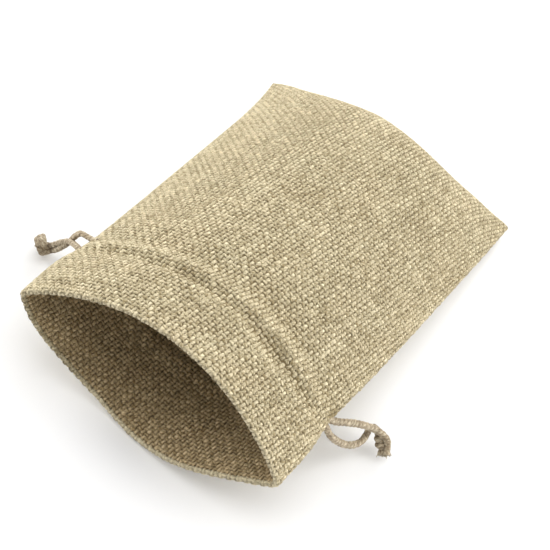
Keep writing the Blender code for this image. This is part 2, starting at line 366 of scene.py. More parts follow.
@dataclass
class WovenSurface:
    """The middle layer of the cloth, as one long strip from the front hem's end to the back hem's end.

    A place on it is told in millimetres: along the strip from the front panel's mouth edge, which is negative
    in the front hem, and across it from the middle of the panel. Past a panel's side edge the cloth turns
    into the seam.

    Attributes:
        shape: the sack's outer face.
        half_cloth: half the thickness of one layer of cloth.
        hem_depth: how far the mouth edge is turned in.
        layer_gap: how far the hem's inner layer lies inside the outer one.
        channel_bulge: how far the inner layer stands off between the two stitch rows.
        channel_middle: distance of the channel's middle from the mouth.
        channel_width: how far the channel spreads along the sack.
        row_press: how far the first stitch row presses the layers together.
        row_middle: distance of that row from the mouth.
        row_width: how far it presses along the sack.
        mouth_inset: how far the panels' ends lie inside the mouth corners, before the fold.
        edge_lift: how far the hem's inner edge stands off the panel.
        edge_reach: how far from that edge it starts to.
        seam_radius: radius on which a panel's face turns into the seam.
        seam_depth: how far the cloth goes into the seam past the turn.
        side_step: step of the hem's points past its side edges, which only the ground sheet reaches.
        hem_inset: how far inside its side edges the hem's yarns end.
        rows: rows of points in one panel.
        columns: points across a panel between its side edges.
        dense_rows: rows at which a panel is measured, before its points are set evenly.
        dense_columns: points across in each of those rows.
        turn_steps: points in each turn at a side edge.
        fold_steps: rows of points in the fold at the mouth edge.
    """

    shape: SackShape
    half_cloth: float = 0.52
    hem_depth: float = 32.6
    layer_gap: float = 0.92
    channel_bulge: float = 1.3
    channel_middle: float = 25.9
    channel_width: float = 2.3
    row_press: float = 0.35
    row_middle: float = 21.6
    row_width: float = 1.3
    mouth_inset: float = 0.5
    edge_lift: float = 0.8
    edge_reach: float = 2.5
    seam_radius: float = 0.78
    seam_depth: float = 0.9
    side_step: float = 0.03
    hem_inset: float = 0.2
    rows: int = 281
    columns: int = 161
    dense_rows: int = 500
    dense_columns: int = 481
    turn_steps: int = 6
    fold_steps: int = 7

    def __post_init__(self) -> None:
        """Works out the strip's points, its outward directions and its measures."""
        front, outward, width, distance = self._panel_grid(True)
        back, back_outward, back_width, back_distance = self._panel_grid(False)
        middle = self.turn_steps + self.columns // 2
        self.length = float(np.linalg.norm(np.diff(front[:, middle], axis=0), axis=1).sum())
        crease = unit(outward[-1] + back_outward[-1])
        points = np.concatenate([front, back[::-1][1:]])
        facing = np.concatenate([outward, back_outward[::-1][1:]])
        facing[self.rows - 1] = crease
        widths = np.concatenate([width, back_width[::-1][1:]])
        distances = np.concatenate([distance, back_distance[::-1][1:]])
        along = np.linspace(0.0, 2.0 * self.length, len(points))
        front_hem = self._hem(points, facing, distances, widths, along, -1.0)
        back_hem = self._hem(points[::-1], facing[::-1], distances[::-1], widths[::-1], along[::-1], 1.0)
        self.points = np.concatenate([front_hem[0][::-1], points - facing * self.half_cloth, back_hem[0]])
        self.outward = np.concatenate([front_hem[1][::-1], facing, back_hem[1]])
        self.along = np.concatenate([front_hem[2][::-1], along, back_hem[2]])
        self.width = np.concatenate([front_hem[3][::-1], widths, back_hem[3]])

    @property
    def fold_length(self) -> float:
        """Length of cloth in the fold at the mouth edge."""
        return math.pi * self.layer_gap / 2

    @property
    def turn_length(self) -> float:
        """Length of cloth in the turn at a side edge."""
        return math.pi / 2 * (self.seam_radius - self.half_cloth) + self.seam_depth

    def _panel_grid(self, front: bool) -> tuple[np.ndarray, np.ndarray, np.ndarray, np.ndarray]:
        """One panel's outer face with even steps both ways, and the turns at its side edges.

        Args:
            front: True for the front panel.

        Returns:
            Its points and outward directions, its width in each row and each point's distance from the mouth.
        """
        inner = np.linspace(-1.0, 1.0, self.dense_columns)
        across = np.sign(inner) * (1 - (1 - np.abs(inner)) ** 3)
        y = np.linspace(self.mouth_inset, self.shape.length, self.dense_rows)
        dense = self.shape.panel(y, across, front)
        rows = np.stack([evenly(self._trimmed(line), self.columns)[0] for line in dense])
        grid = np.empty((self.rows, self.columns, 3))
        distance = np.empty((self.rows, self.columns))
        for column in range(self.columns):
            grid[:, column], distance[:, column] = evenly(rows[:, column], self.rows, y)
        turning = 1.0 if front else -1.0
        outward = unit(np.cross(np.gradient(grid, axis=1), np.gradient(grid, axis=0))) * turning
        width = np.linalg.norm(np.diff(grid, axis=1), axis=2).sum(axis=1)
        left = self._turned(grid[:, 0], unit(grid[:, 0] - grid[:, 1]), outward[:, 0])
        right = self._turned(grid[:, -1], unit(grid[:, -1] - grid[:, -2]), outward[:, -1])
        points = np.concatenate([left[0][:, ::-1], grid, right[0]], axis=1)
        facing = np.concatenate([left[1][:, ::-1], outward, right[1]], axis=1)
        distance = np.pad(distance, ((0, 0), (self.turn_steps, self.turn_steps)), mode="edge")
        return points, facing, width, distance

    def _trimmed(self, line: np.ndarray) -> np.ndarray:
        """A line across a panel without the stretches at its ends that the turns take up.

        Args:
            line: points of the line, from one side seam to the other.

        Returns:
            Points of the shorter line.
        """
        length = run_lengths(line)
        cut = min(self.seam_radius, length[-1] / 4)
        at = np.concatenate([[cut], length[(length > cut) & (length < length[-1] - cut)], [length[-1] - cut]])
        return read_line(line, length, at)

    def _turned(
        self, edge: np.ndarray, sideways: np.ndarray, outward: np.ndarray
    ) -> tuple[np.ndarray, np.ndarray]:
        """The turn of a panel's outer face into the seam.

        Args:
            edge: points of the side edge.
            sideways: directions that run on across the panel there.
            outward: directions out of the cloth there.

        Returns:
            Points and outward directions past the edge.
        """
        arc = math.pi / 2 * (self.seam_radius - self.half_cloth)
        places, facing = [], []
        for step in range(1, self.turn_steps + 1):
            run = self.turn_length * step / self.turn_steps
            angle = min(run / arc, 1.0) * math.pi / 2
            deeper = max(0.0, run - arc)
            on = sideways * math.sin(angle) * self.seam_radius
            down = outward * (self.seam_radius * (1 - math.cos(angle)) + deeper)
            places.append(edge + on - down)
            facing.append(outward * math.cos(angle) + sideways * math.sin(angle))
        return np.stack(places, axis=1), np.stack(facing, axis=1)

    def _hem(
        self,
        points: np.ndarray,
        outward: np.ndarray,
        distance: np.ndarray,
        width: np.ndarray,
        along: np.ndarray,
        sign: float,
    ) -> tuple[np.ndarray, np.ndarray, np.ndarray, np.ndarray]:
        """The turned-in hem of one panel, from the mouth edge inwards.

        Args:
            points: the panel's outer face, its first row at the mouth.
            outward: directions out of the cloth.
            distance: distances from the mouth.
            width: the panel's width in each row.
            along: places along the strip.
            sign: 1 where places along the strip rise from the mouth edge into the hem, else -1.

        Returns:
            Points, directions, places along the strip and widths of the hem's rows.
        """
        radius = self.layer_gap / 2
        back = unit(points[0] - points[1])
        middle = points[0] - outward[0] * (self.half_cloth + radius)
        turned, facing, places = [], [], []
        for step in range(1, self.fold_steps + 1):
            angle = math.pi * step / (self.fold_steps + 1)
            direction = outward[0] * math.cos(angle) + back * math.sin(angle)
            turned.append(middle + direction * radius)
            facing.append(direction)
            places.append(along[0] + sign * angle * radius)
        rows = int(np.searchsorted(distance[:, self.turn_steps], self.hem_depth))
        away = (distance[:rows] - self.channel_middle) / self.channel_width
        pressed = self.row_press * np.exp(-(((distance[:rows] - self.row_middle) / self.row_width) ** 2))
        lift = self.edge_lift * np.exp(-(((distance[:rows] - self.hem_depth) / self.edge_reach) ** 2))
        bulge = (self.channel_bulge * np.exp(-(away**2)) + lift - pressed)[..., None]
        inner = points[:rows] - outward[:rows] * (self.half_cloth + self.layer_gap + bulge)
        layer = np.concatenate([np.array(turned), inner])
        directions = np.concatenate([np.array(facing), -outward[:rows]])
        for side, step in ((self.turn_steps, -1), (-self.turn_steps - 1, 1)):
            sideways = unit(layer[:, side] - layer[:, side - step])
            for count in range(1, self.turn_steps + 1):
                layer[:, side + step * count] = layer[:, side] + sideways * self.side_step * count
                directions[:, side + step * count] = directions[:, side]
        inside = along[0] + sign * (self.fold_length + np.abs(along[:rows] - along[0]))
        widths = np.concatenate([np.full(self.fold_steps, width[0]), width[:rows]])
        return layer, directions, np.concatenate([np.array(places), inside]), widths

    def width_at(self, along: np.ndarray) -> np.ndarray:
        """The panel's width between its side edges at places along the strip."""
        return np.interp(along, self.along, self.width)

    def read(self, along: np.ndarray, across: np.ndarray) -> tuple[np.ndarray, np.ndarray]:
        """The cloth's middle layer at places on the strip.

        Args:
            along: places along the strip.
            across: places across it, from its middle.

        Returns:
            Points and outward directions.
        """
        half = self.width_at(along) / 2
        inside = np.clip(across, -half, half)
        past = across - inside
        column = self.turn_steps + (inside / half + 1) / 2 * (self.columns - 1)
        column = column + past / self.turn_length * self.turn_steps
        last = self.columns + 2 * self.turn_steps - 1
        column = np.clip(column, 0.0, last)
        row = np.interp(along, self.along, np.arange(len(self.along)))
        i = np.clip(row.astype(int), 0, len(self.along) - 2)
        j = np.clip(column.astype(int), 0, last - 1)
        u = (row - i)[..., None]
        v = (column - j)[..., None]
        both = []
        for grid in (self.points, self.outward):
            near = grid[i, j] * (1 - v) + grid[i, j + 1] * v
            far = grid[i + 1, j] * (1 - v) + grid[i + 1, j + 1] * v
            both.append(near * (1 - u) + far * u)
        return both[0], unit(both[1])

    def stretch(self, part: Part) -> tuple[float, float]:
        """Where a stretch of the cloth begins and ends.

        Args:
            part: the stretch of the cloth.

        Returns:
            Its two places along the strip, the lower one first.
        """
        ends = {
            Part.FRONT_HEM: (float(self.along[0]), -self.fold_length),
            Part.FRONT_PANEL: (-self.fold_length, self.length),
            Part.BACK_PANEL: (self.length, 2 * self.length + self.fold_length),
            Part.BACK_HEM: (2 * self.length + self.fold_length, float(self.along[-1])),
        }
        return ends[part]

    def half_reach(self, part: Part, along: np.ndarray) -> np.ndarray:
        """How far yarns run across from the middle, at places along the strip."""
        in_hem = part in (Part.FRONT_HEM, Part.BACK_HEM)
        return self.width_at(along) / 2 + (-self.hem_inset if in_hem else self.turn_length)


# ---------------------------------------------------------------- meshes


# Shares left free at the edges of a piece's packed map, and on both sides of each tube's strip in it.
MAP_MARGIN = 0.01
STRIP_MARGIN = 0.06

# How far random lines spread about 0, and where they are cut off.
WANDER_SPREAD = 0.55
WANDER_LIMIT = 1.4


def linked(name: str, data: bpy.types.ID) -> bpy.types.Object:
    """Puts a new object into the scene.

    Args:
        name: the object's name.
        data: its mesh, camera or light.

    Returns:
        The object.
    """
    made = bpy.data.objects.new(name, data)
    bpy.context.scene.collection.objects.link(made)
    return made


@dataclass
class Tubes:
    """Many tubes of one profile, as the numbers of one mesh.

    Attributes:
        rings: points, by tube, place along it and place round it.
        along: length along each tube at each ring.
        tone: lightness at each ring, about 0: the yarn's own tone with painted light and shade added.
        depth: how deep each point lies in the cloth, from 0 to 1, which the finishes darken as painted shade.
        kept: which rings are part of the mesh.
    """

    rings: np.ndarray
    along: np.ndarray
    tone: np.ndarray
    depth: np.ndarray
    kept: np.ndarray

    def to_object(self, name: str) -> bpy.types.Object:
        """Makes one closed mesh of the tubes, with the maps that the finishes read.

        Args:
            name: the piece's name.

        Returns:
            The mesh object, linked to the scene.
        """
        count = self.rings.shape[2]
        joined = self.kept[:, 1:] & self.kept[:, :-1]
        before = np.pad(joined, ((0, 0), (1, 0)))
        after = np.pad(joined, ((0, 0), (0, 1)))
        used = before | after
        first = used & ~before
        last = used & ~after
        index = (np.cumsum(used.ravel()) - 1).reshape(used.shape)[..., None] * count + np.arange(count)
        following = np.roll(index, -1, axis=2)
        quads = np.stack([index[:, :-1], following[:, :-1], following[:, 1:], index[:, 1:]], axis=-1)[joined]
        corners = np.concatenate([quads.ravel(), index[first][:, ::-1].ravel(), index[last].ravel()])
        sides = np.concatenate([np.full(quads.size // 4, 4), np.full(2 * int(first.sum()), count)])
        mesh = bpy.data.meshes.new(name)
        mesh.vertices.add(int(used.sum()) * count)
        mesh.vertices.foreach_set("co", (self.rings[used] * MM).astype(np.float32).ravel())
        mesh.loops.add(len(corners))
        mesh.loops.foreach_set("vertex_index", corners.astype(np.int32))
        mesh.polygons.add(len(sides))
        starts = np.concatenate([[0], np.cumsum(sides)[:-1]])
        mesh.polygons.foreach_set("loop_start", starts.astype(np.int32))
        mesh.polygons.foreach_set("loop_total", sides.astype(np.int32))
        mesh.update(calc_edges=True)
        for layer, places in (("yarn", self._yarn_places()), ("OFBake", self._packed_places())):
            near, far = places[:, :-1], places[:, 1:]
            wall = np.stack([near[:, :, :-1], near[:, :, 1:], far[:, :, 1:], far[:, :, :-1]], axis=3)[joined]
            start = places[first][:, :-1][:, ::-1]
            end = places[last][:, :-1]
            numbers = np.concatenate([wall.reshape(-1, 2), start.reshape(-1, 2), end.reshape(-1, 2)])
            mesh.uv_layers.new(name=layer).data.foreach_set("uv", numbers.astype(np.float32).ravel())
        tones = np.repeat(self.tone[..., None], count, axis=2)
        for attribute, values in (("tone", tones), ("depth", np.broadcast_to(self.depth, tones.shape))):
            mesh.attributes.new(attribute, "FLOAT", "POINT").data.foreach_set(
                "value", values[used].astype(np.float32).ravel()
            )
        mesh.validate()
        mesh.shade_smooth()
        return linked(name, mesh)

    def _places(self, along: np.ndarray, turns: np.ndarray) -> np.ndarray:
        """Both coordinates of a map.

        Args:
            along: the coordinate along the tubes, by tube and ring.
            turns: the coordinate round them, by tube, ring and turn or as wide as these need.

        Returns:
            Places in the map, by tube, ring and turn.
        """
        tubes, rings, count, _ = self.rings.shape
        shape = (tubes, rings, count + 1)
        return np.stack([np.broadcast_to(along[..., None], shape), np.broadcast_to(turns, shape)], axis=-1)

    def _yarn_places(self) -> np.ndarray:
        """The map that the fibres follow: millimetres along each tube, and turns round it past its number.

        Returns:
            Places in the map, by tube, ring and turn.
        """
        tubes, _, count, _ = self.rings.shape
        turn = np.arange(count + 1) / count
        return self._places(self.along, 2.0 * np.arange(tubes)[:, None, None] + turn)

    def _packed_places(self) -> np.ndarray:
        """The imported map: the tubes laid side by side as strips that fill the unit square.

        Returns:
            Places in the map, by tube, ring and turn.
        """
        tubes, _, count, _ = self.rings.shape
        low, high = self.along[self.kept].min(), self.along[self.kept].max()
        turn = STRIP_MARGIN + (1 - 2 * STRIP_MARGIN) * np.arange(count + 1) / count
        strips = (np.arange(tubes)[:, None, None] + turn) / tubes
        along = MAP_MARGIN + (1 - 2 * MAP_MARGIN) * (self.along - low) / (high - low)
        return self._places(along, strips)


def swept_rings(
    centres: np.ndarray,
    outward: np.ndarray,
    half_width: np.ndarray,
    half_height: np.ndarray,
    profile: np.ndarray,
) -> np.ndarray:
    """Rings of a profile along centre lines.

    Args:
        centres: points, by tube and place.
        outward: directions in which the profile's height points.
        half_width: half the width at each place.
        half_height: half the height at each place.
        profile: points round the section, within 1 each way.

    Returns:
        The rings' points.
    """
    along = unit(np.gradient(centres, axis=1))
    aside = unit(np.cross(along, outward))
    upward = np.cross(aside, along)
    wide = half_width[..., None, None] * profile[:, 0][:, None] * aside[:, :, None, :]
    high = half_height[..., None, None] * profile[:, 1][:, None] * upward[:, :, None, :]
    return centres[:, :, None, :] + wide + high


def wander(rng: np.random.Generator, lines: int, places: np.ndarray, reach: float) -> np.ndarray:
    """Smooth random lines, about 0 and mostly within 1.

    Args:
        rng: where the random numbers come from.
        lines: how many lines.
        places: where they are read, shared by all.
        reach: distance over which a line changes.

    Returns:
        Values, by line and place.
    """
    knots = np.arange(places.min() - reach, places.max() + 2 * reach, reach)
    levels = rng.normal(0.0, WANDER_SPREAD, (lines, len(knots)))
    levels = np.clip(levels, -WANDER_LIMIT, WANDER_LIMIT)
    return np.stack([smooth_values(knots, row, places) for row in levels])


# ---------------------------------------------------------------- the woven cloth


@dataclass(frozen=True)
class YarnForm:
    """Sizes of the yarns, how they are woven and how uneven they are.

    Attributes:
        warps_per_mm: warp yarns side by side.
        wefts_per_mm: weft yarns side by side.
        lean: how far the warp yarns run sideways for each millimetre along the sack.
        warp_share: a warp yarn's width as a share of its room.
        weft_share: a weft yarn's width as a share of its room.
        height: a yarn's thickness.
        warp_crimp: how far a warp yarn rises and dips from the cloth's middle.
        weft_crimp: how far a weft yarn does.
        warp_tone_and_light: painted light: how much lighter than usual the warp yarns are.
        weft_painted_light: painted shade: how much lighter the weft yarns are, negative for darker.
        flat: how far a float stays level on either side of its crossing, in crossings.
        float_tone: how far floats of one yarn differ in tone.
        float_size: how far they differ in width, as a share.
        float_stray: how far they lie off the yarn's line.
        edge_raise: how far the warp yarns rise over the fold at the mouth edge.
        fold_painted_light: painted light and shade at the mouth edge: how much lighter the yarns are there,
            at the front
        panel and at the back panel's left and right.
        edge_turn: where across the back panel the left tone passes into the right one.
        edge_blend: how softly it does.
        edge_swell: how much wider they are there, as a share.
        opening: the yarns round the place where the cords come out of a side seam: how far from the mouth
            they lie, how far they reach along the seam, and how far in from it.
        opening_painted_shade: painted shadow at the openings: how much lighter those yarns are, negative for
            darker.
        firmness: share of its thickness that a yarn keeps where its width varies.
        unevenness: how far its width varies, as a share.
        width_waves: the waves in which it does, each as a share and the crossings over which it changes.
        yarn_tone: how far whole yarns differ in tone.
        tone_waves: the waves in which a yarn's tone varies, each as a height and the crossings over which it
            changes.
        sway: how far it strays from its line.
        sway_reach: the crossings over which that changes.
        slub_every: mean distance between slubs, in crossings.
        slub_reach: the least and the most that a slub spreads, in crossings.
        slub_swell: how much wider a slub is, as a share.
        slub_tone: how much lighter it is.
        margin: how far past the widest row the yarns are laid out, before they are cut at the side edges.
    """

    warps_per_mm: float = 0.735
    wefts_per_mm: float = 0.825
    lean: float = 0.170
    warp_share: float = 0.78
    weft_share: float = 0.82
    height: float = 0.52
    warp_crimp: float = 0.25
    weft_crimp: float = 0.21
    warp_tone_and_light: float = 0.3
    weft_painted_light: float = -0.60
    flat: float = 0.35
    float_tone: float = 0.42
    float_size: float = 0.10
    float_stray: float = 0.08
    edge_raise: float = 0.06
    fold_painted_light: tuple[float, float, float] = (0.7, -0.5, 2.2)
    edge_turn: float = -19.0
    edge_blend: float = 2.5
    edge_swell: float = 0.18
    opening: tuple[float, float, float] = (27.6, 2.4, 2.0)
    opening_painted_shade: float = -4.5
    firmness: float = 0.6
    unevenness: float = 0.13
    width_waves: tuple[tuple[float, float], ...] = ((0.7, 2.3), (0.6, 9.0))
    yarn_tone: float = 0.16
    tone_waves: tuple[tuple[float, float], ...] = ((0.14, 16.0), (0.22, 2.6))
    sway: float = 0.13
    sway_reach: float = 5.0
    slub_every: float = 150.0
    slub_reach: tuple[float, float] = (1.4, 3.6)
    slub_swell: float = 0.28
    slub_tone: float = 0.35
    margin: float = 3.0


# Points round a yarn's section: five in the front panel and in the hem that shows, four elsewhere.
FULL_PROFILE = np.array([(1.0, -0.1), (0.58, 0.95), (-0.58, 0.95), (-1.0, -0.1), (0.0, -0.95)])
PLAIN_PROFILE = np.array([(1.0, 0.0), (0.0, 1.0), (-1.0, 0.0), (0.0, -1.0)])
PLAIN_PARTS = (Part.FRONT_HEM, Part.BACK_PANEL)
WEFT_SEED = 20

# The ground sheet: its thickness, how much coarser than the surface it is, and how much deeper it lies in
# the folds.
GROUND_THICKNESS = 0.12
GROUND_SKIP = 4
GROUND_DROP = 0.24


@dataclass
class Weave:
    """Makes the yarns of a plain weave on a woven surface.

    Attributes:
        surface: the cloth's middle layer, which the yarns follow.
        form: sizes and unevenness of the yarns.
        seed: picks the random numbers.
    """

    surface: WovenSurface
    form: YarnForm
    seed: int = 11

    def __post_init__(self) -> None:
        """Lays out every warp yarn over the whole strip."""
        surface, form = self.surface, self.form
        rng = np.random.default_rng(self.seed)
        between_folds = 2 * surface.length + surface.fold_length
        self.pitch = between_folds / round(between_folds * form.wefts_per_mm)
        self.start = (self.pitch - surface.fold_length) / 2
        low = math.ceil((surface.along[0] - self.start) / self.pitch + form.flat)
        high = math.floor((surface.along[-1] - self.start) / self.pitch - form.flat)
        crossing = (np.arange(low, high + 1)[:, None] + np.array([-form.flat, form.flat])).ravel()
        along = self.start + crossing * self.pitch
        reach = surface.width.max() / 2 + form.margin
        first = math.floor((-reach - form.lean * along[-1]) * form.warps_per_mm)
        last = math.ceil((reach - form.lean * along[0]) * form.warps_per_mm)
        self.warps = np.arange(first, last)[:, None]
        factor, tone = self._swelling(rng, len(self.warps), crossing)
        sway = self._sway(rng, len(self.warps), crossing)
        across = self.warps / form.warps_per_mm + form.lean * along + sway
        self.warp_across = across
        self.warp_along = np.broadcast_to(along, across.shape)
        over = np.where(np.cos(np.pi * (np.round(crossing) - self.warps)) > 0, 1.0, -1.0)
        front_fold, back_fold = self._at_folds(along, self.pitch / 4)
        on_fold = front_fold | back_fold
        self.warp_raised = np.where(on_fold, form.edge_raise, form.warp_crimp * over)
        # Each warp's own tone, with painted light and shade on the folds and painted shade round the
        # openings.
        self.warp_tone_and_light = tone + self._painted_fold_light(along, across) + self._painted_opening_shade(along, across)
        self.warp_factor = factor + form.edge_swell * on_fold

    def _at_folds(self, along: np.ndarray, reach: float) -> tuple[np.ndarray, np.ndarray]:
        """Which places lie at the folds of the mouth edge.

        Args:
            along: places along the strip.
            reach: how far from the middle of a fold they may lie.

        Returns:
            True where a place lies at the front panel's fold, and where it lies at the back panel's.
        """
        surface = self.surface
        front = np.abs(along + surface.fold_length / 2) < reach
        return front, np.abs(along - 2 * surface.length - surface.fold_length / 2) < reach

    def _painted_fold_light(self, along: np.ndarray, across: np.ndarray) -> np.ndarray:
        """Painted light and shade at the mouth edge: how much lighter the yarns on and beside the folds are.

        Args:
            along: places along the strip.
            across: places across it.

        Returns:
            Tones, none away from the folds.
        """
        front_painted, left_painted, right_painted = self.form.fold_painted_light
        front, back = self._at_folds(along, self.pitch)
        right = 1 / (1 + np.exp((self.form.edge_turn - across) / self.form.edge_blend))
        return front_painted * front + (left_painted + (right_painted - left_painted) * right) * back

    def _painted_opening_shade(self, along: np.ndarray, across: np.ndarray) -> np.ndarray:
        """Painted shadow round the openings in the side seams: how much lighter the yarns are there.

        Args:
            along: places along the strip.
            across: places across it.

        Returns:
            Tones, none away from the openings.
        """
        middle, reach, inward = self.form.opening
        from_mouth = np.minimum(along, 2 * self.surface.length - along)
        from_side = self.surface.width_at(along) / 2 - np.abs(across)
        away = ((from_mouth - middle) / reach) ** 2 + (from_side / inward) ** 2
        return self.form.opening_painted_shade * np.exp(-away)

    def _swelling(
        self, rng: np.random.Generator, lines: int, places: np.ndarray
    ) -> tuple[np.ndarray, np.ndarray]:
        """How uneven yarns are along themselves.

        Args:
            rng: where the random numbers come from.
            lines: how many yarns.
            places: crossings at which they are read.

        Returns:
            Factors of their width, and their tones.
        """
        form = self.form
        waves = [share * wander(rng, lines, places, reach) for share, reach in form.width_waves]
        factor = 1 + form.unevenness * sum(waves)
        base = rng.normal(0.0, form.yarn_tone, (lines, 1))
        tone = sum((height * wander(rng, lines, places, reach) for height, reach in form.tone_waves), base)
        floats = np.round(places).astype(int) - round(places.min())
        tone += rng.normal(0.0, form.float_tone, (lines, floats.max() + 1))[:, floats]
        factor += rng.normal(0.0, form.float_size, (lines, floats.max() + 1))[:, floats]
        span = places.max() - places.min()
        for line in range(lines):
            for _ in range(rng.poisson(span / form.slub_every)):
                middle = rng.uniform(places.min(), places.max())
                bump = np.exp(-(((places - middle) / rng.uniform(*form.slub_reach)) ** 2))
                factor[line] += form.slub_swell * bump
                tone[line] += form.slub_tone * bump
        return factor, tone

    def _sway(self, rng: np.random.Generator, lines: int, places: np.ndarray) -> np.ndarray:
        """How far yarns stray from their lines, by yarn and place."""
        strays = rng.normal(0.0, self.form.float_stray, (lines, len(places)))
        return self.form.sway * wander(rng, lines, places, self.form.sway_reach) + strays

    def _yarns(
        self,
        name: str,
        places: tuple[np.ndarray, np.ndarray],
        raised: np.ndarray,
        factor: np.ndarray,
        tone: np.ndarray,
        room: float,
        kept: np.ndarray,
        profile: np.ndarray,
    ) -> bpy.types.Object:
        """Makes tubes of yarn.

        Args:
            name: the piece's name.
            places: where the yarns run along the strip and across it.
            raised: how far a yarn lies above the cloth's middle.
            factor: how much wider than usual it is.
            tone: its lightness.
            room: its usual width.
            kept: which places are part of the piece.
            profile: points round the yarn's section.

        Returns:
            The piece.
        """
        form = self.form
        centre, outward = self.surface.read(*places)
        centre = centre + outward * raised[..., None]
        half_height = form.height / 2 * (form.firmness + (1 - form.firmness) * factor)
        rings = swept_rings(centre, outward, room / 2 * factor, half_height, profile)
        # How deep each point lies in the cloth, which the finishes darken as painted shade.
        from_middle = np.abs(raised[..., None] + profile[:, 1] * half_height[..., None])
        depth = np.clip(1 - from_middle / (form.warp_crimp + form.height / 2), 0, 1)
        return Tubes(rings, run_lengths(centre), tone, depth, kept).to_object(name)

    def warp(self, name: str, part: Part) -> bpy.types.Object:
        """The yarns that run along the sack, over one stretch of the cloth.

        Args:
            name: the piece's name.
            part: the stretch of the cloth.

        Returns:
            The piece.
        """
        form = self.form
        line = self.warp_along[0]
        low, high = (int(np.argmin(np.abs(line - end))) for end in self.surface.stretch(part))
        span = slice(low, high + 1)
        along, across = self.warp_along[:, span], self.warp_across[:, span]
        kept = np.abs(across) <= self.surface.half_reach(part, along)
        lines = kept.any(axis=1)
        room = form.warp_share / form.warps_per_mm / math.hypot(1.0, form.lean)
        raised, factor, tone = (
            values[lines, span] for values in (self.warp_raised, self.warp_factor, self.warp_tone_and_light)
        )
        places = (along[lines], across[lines])
        profile = PLAIN_PROFILE if part in PLAIN_PARTS else FULL_PROFILE
        # The warps take their painted light as well as their own tone.
        return self._yarns(name, places, raised, factor, tone + form.warp_tone_and_light, room, kept[lines], profile)

    def weft(self, name: str, part: Part, seed: int) -> bpy.types.Object:
        """The yarns that run across the sack, over one stretch of the cloth.

        Args:
            name: the piece's name.
            part: the stretch of the cloth.
            seed: picks the random numbers.

        Returns:
            The piece.
        """
        form = self.form
        rng = np.random.default_rng(self.seed + seed)
        low, high = ((end - self.start) / self.pitch for end in self.surface.stretch(part))
        numbers = np.arange(math.ceil(low), math.ceil(high))[:, None]
        middle = self.start + numbers * self.pitch
        reach = self.surface.width.max() / 2 + form.margin
        first = math.floor((-reach - form.lean * middle.max()) * form.warps_per_mm)
        last = math.ceil((reach - form.lean * middle.min()) * form.warps_per_mm)
        crossing = (np.arange(first, last)[:, None] + np.array([-form.flat, form.flat])).ravel()
        factor, tone = self._swelling(rng, len(numbers), crossing)
        along = middle + self._sway(rng, len(numbers), crossing)
        across = crossing / form.warps_per_mm + form.lean * middle
        raised = form.weft_crimp * np.where(np.cos(np.pi * (numbers - np.round(crossing))) > 0, -1.0, 1.0)
        kept = np.abs(across) <= self.surface.half_reach(part, along)
        # Each weft's own tone, with painted light and shade on the folds and painted shade round the
        # openings.
        tone = tone + self._painted_fold_light(middle, across) + self._painted_opening_shade(middle, across)
        room = form.weft_share * self.pitch
        profile = PLAIN_PROFILE if part in PLAIN_PARTS else FULL_PROFILE
        # The wefts take their painted shade as well as their own tone.
        return self._yarns(name, (along, across), raised, factor, tone + form.weft_painted_light, room, kept, profile)

    @staticmethod
    def _sheet_faces(tall: int, wide: int) -> list[tuple[int, ...]]:
        """The faces of a thin closed sheet, whose upper points come before its lower ones.

        Args:
            tall: rows of points.
            wide: points in a row.

        Returns:
            The corners of each face.
        """
        index = np.arange(tall * wide).reshape(tall, wide)
        under = index + tall * wide
        faces = []
        for r in range(tall - 1):
            for c in range(wide - 1):
                faces.append((index[r, c], index[r, c + 1], index[r + 1, c + 1], index[r + 1, c]))
                faces.append((under[r, c], under[r + 1, c], under[r + 1, c + 1], under[r, c + 1]))
        rim = [*index[0], *index[1:, -1], *index[-1, -2::-1], *index[-2:0:-1, 0]]
        for near, far in zip(rim, [*rim[1:], rim[0]]):
            faces.append((far, near, near + tall * wide, far + tall * wide))
        return [tuple(int(i) for i in face) for face in faces]

    def ground(self, name: str, thickness: float, skip: int, drop: float) -> tuple[bpy.types.Object, float]:
        """The thin inner sheet that the yarns lie over and under, which fills their gaps with painted shade.

        Args:
            name: the piece's name.
            thickness: how thick the sheet is.
            skip: how many rows and columns of the surface make one of the sheet's, outside the folds.
            drop: how much deeper the sheet lies in the folds.

        Returns:
            The piece, and its length in millimetres.
        """
        surface = self.surface
        front_fold, back_fold = self._at_folds(surface.along, surface.fold_length / 2 + TINY)
        at_fold = front_fold | back_fold
        rows = sorted({*range(0, len(surface.along), skip), *np.flatnonzero(at_fold), len(surface.along) - 1})
        last = surface.points.shape[1] - 1
        columns = sorted({*range(0, last, skip), last})
        middle = surface.points[np.ix_(rows, columns)]
        outward = surface.outward[np.ix_(rows, columns)]
        length = float(np.linalg.norm(np.diff(middle[:, middle.shape[1] // 2], axis=0), axis=1).sum())
        middle = middle - outward * drop * at_fold[rows][:, None, None]
        high = middle + outward * thickness / 2
        low = middle - outward * thickness / 2
        points = np.concatenate([high.reshape(-1, 3), low.reshape(-1, 3)]) * MM
        mesh = bpy.data.meshes.new(name)
        mesh.from_pydata(points.tolist(), [], self._sheet_faces(*middle.shape[:2]))
        mesh.shade_smooth()
        return linked(name, mesh), length


# ---------------------------------------------------------------- finishes


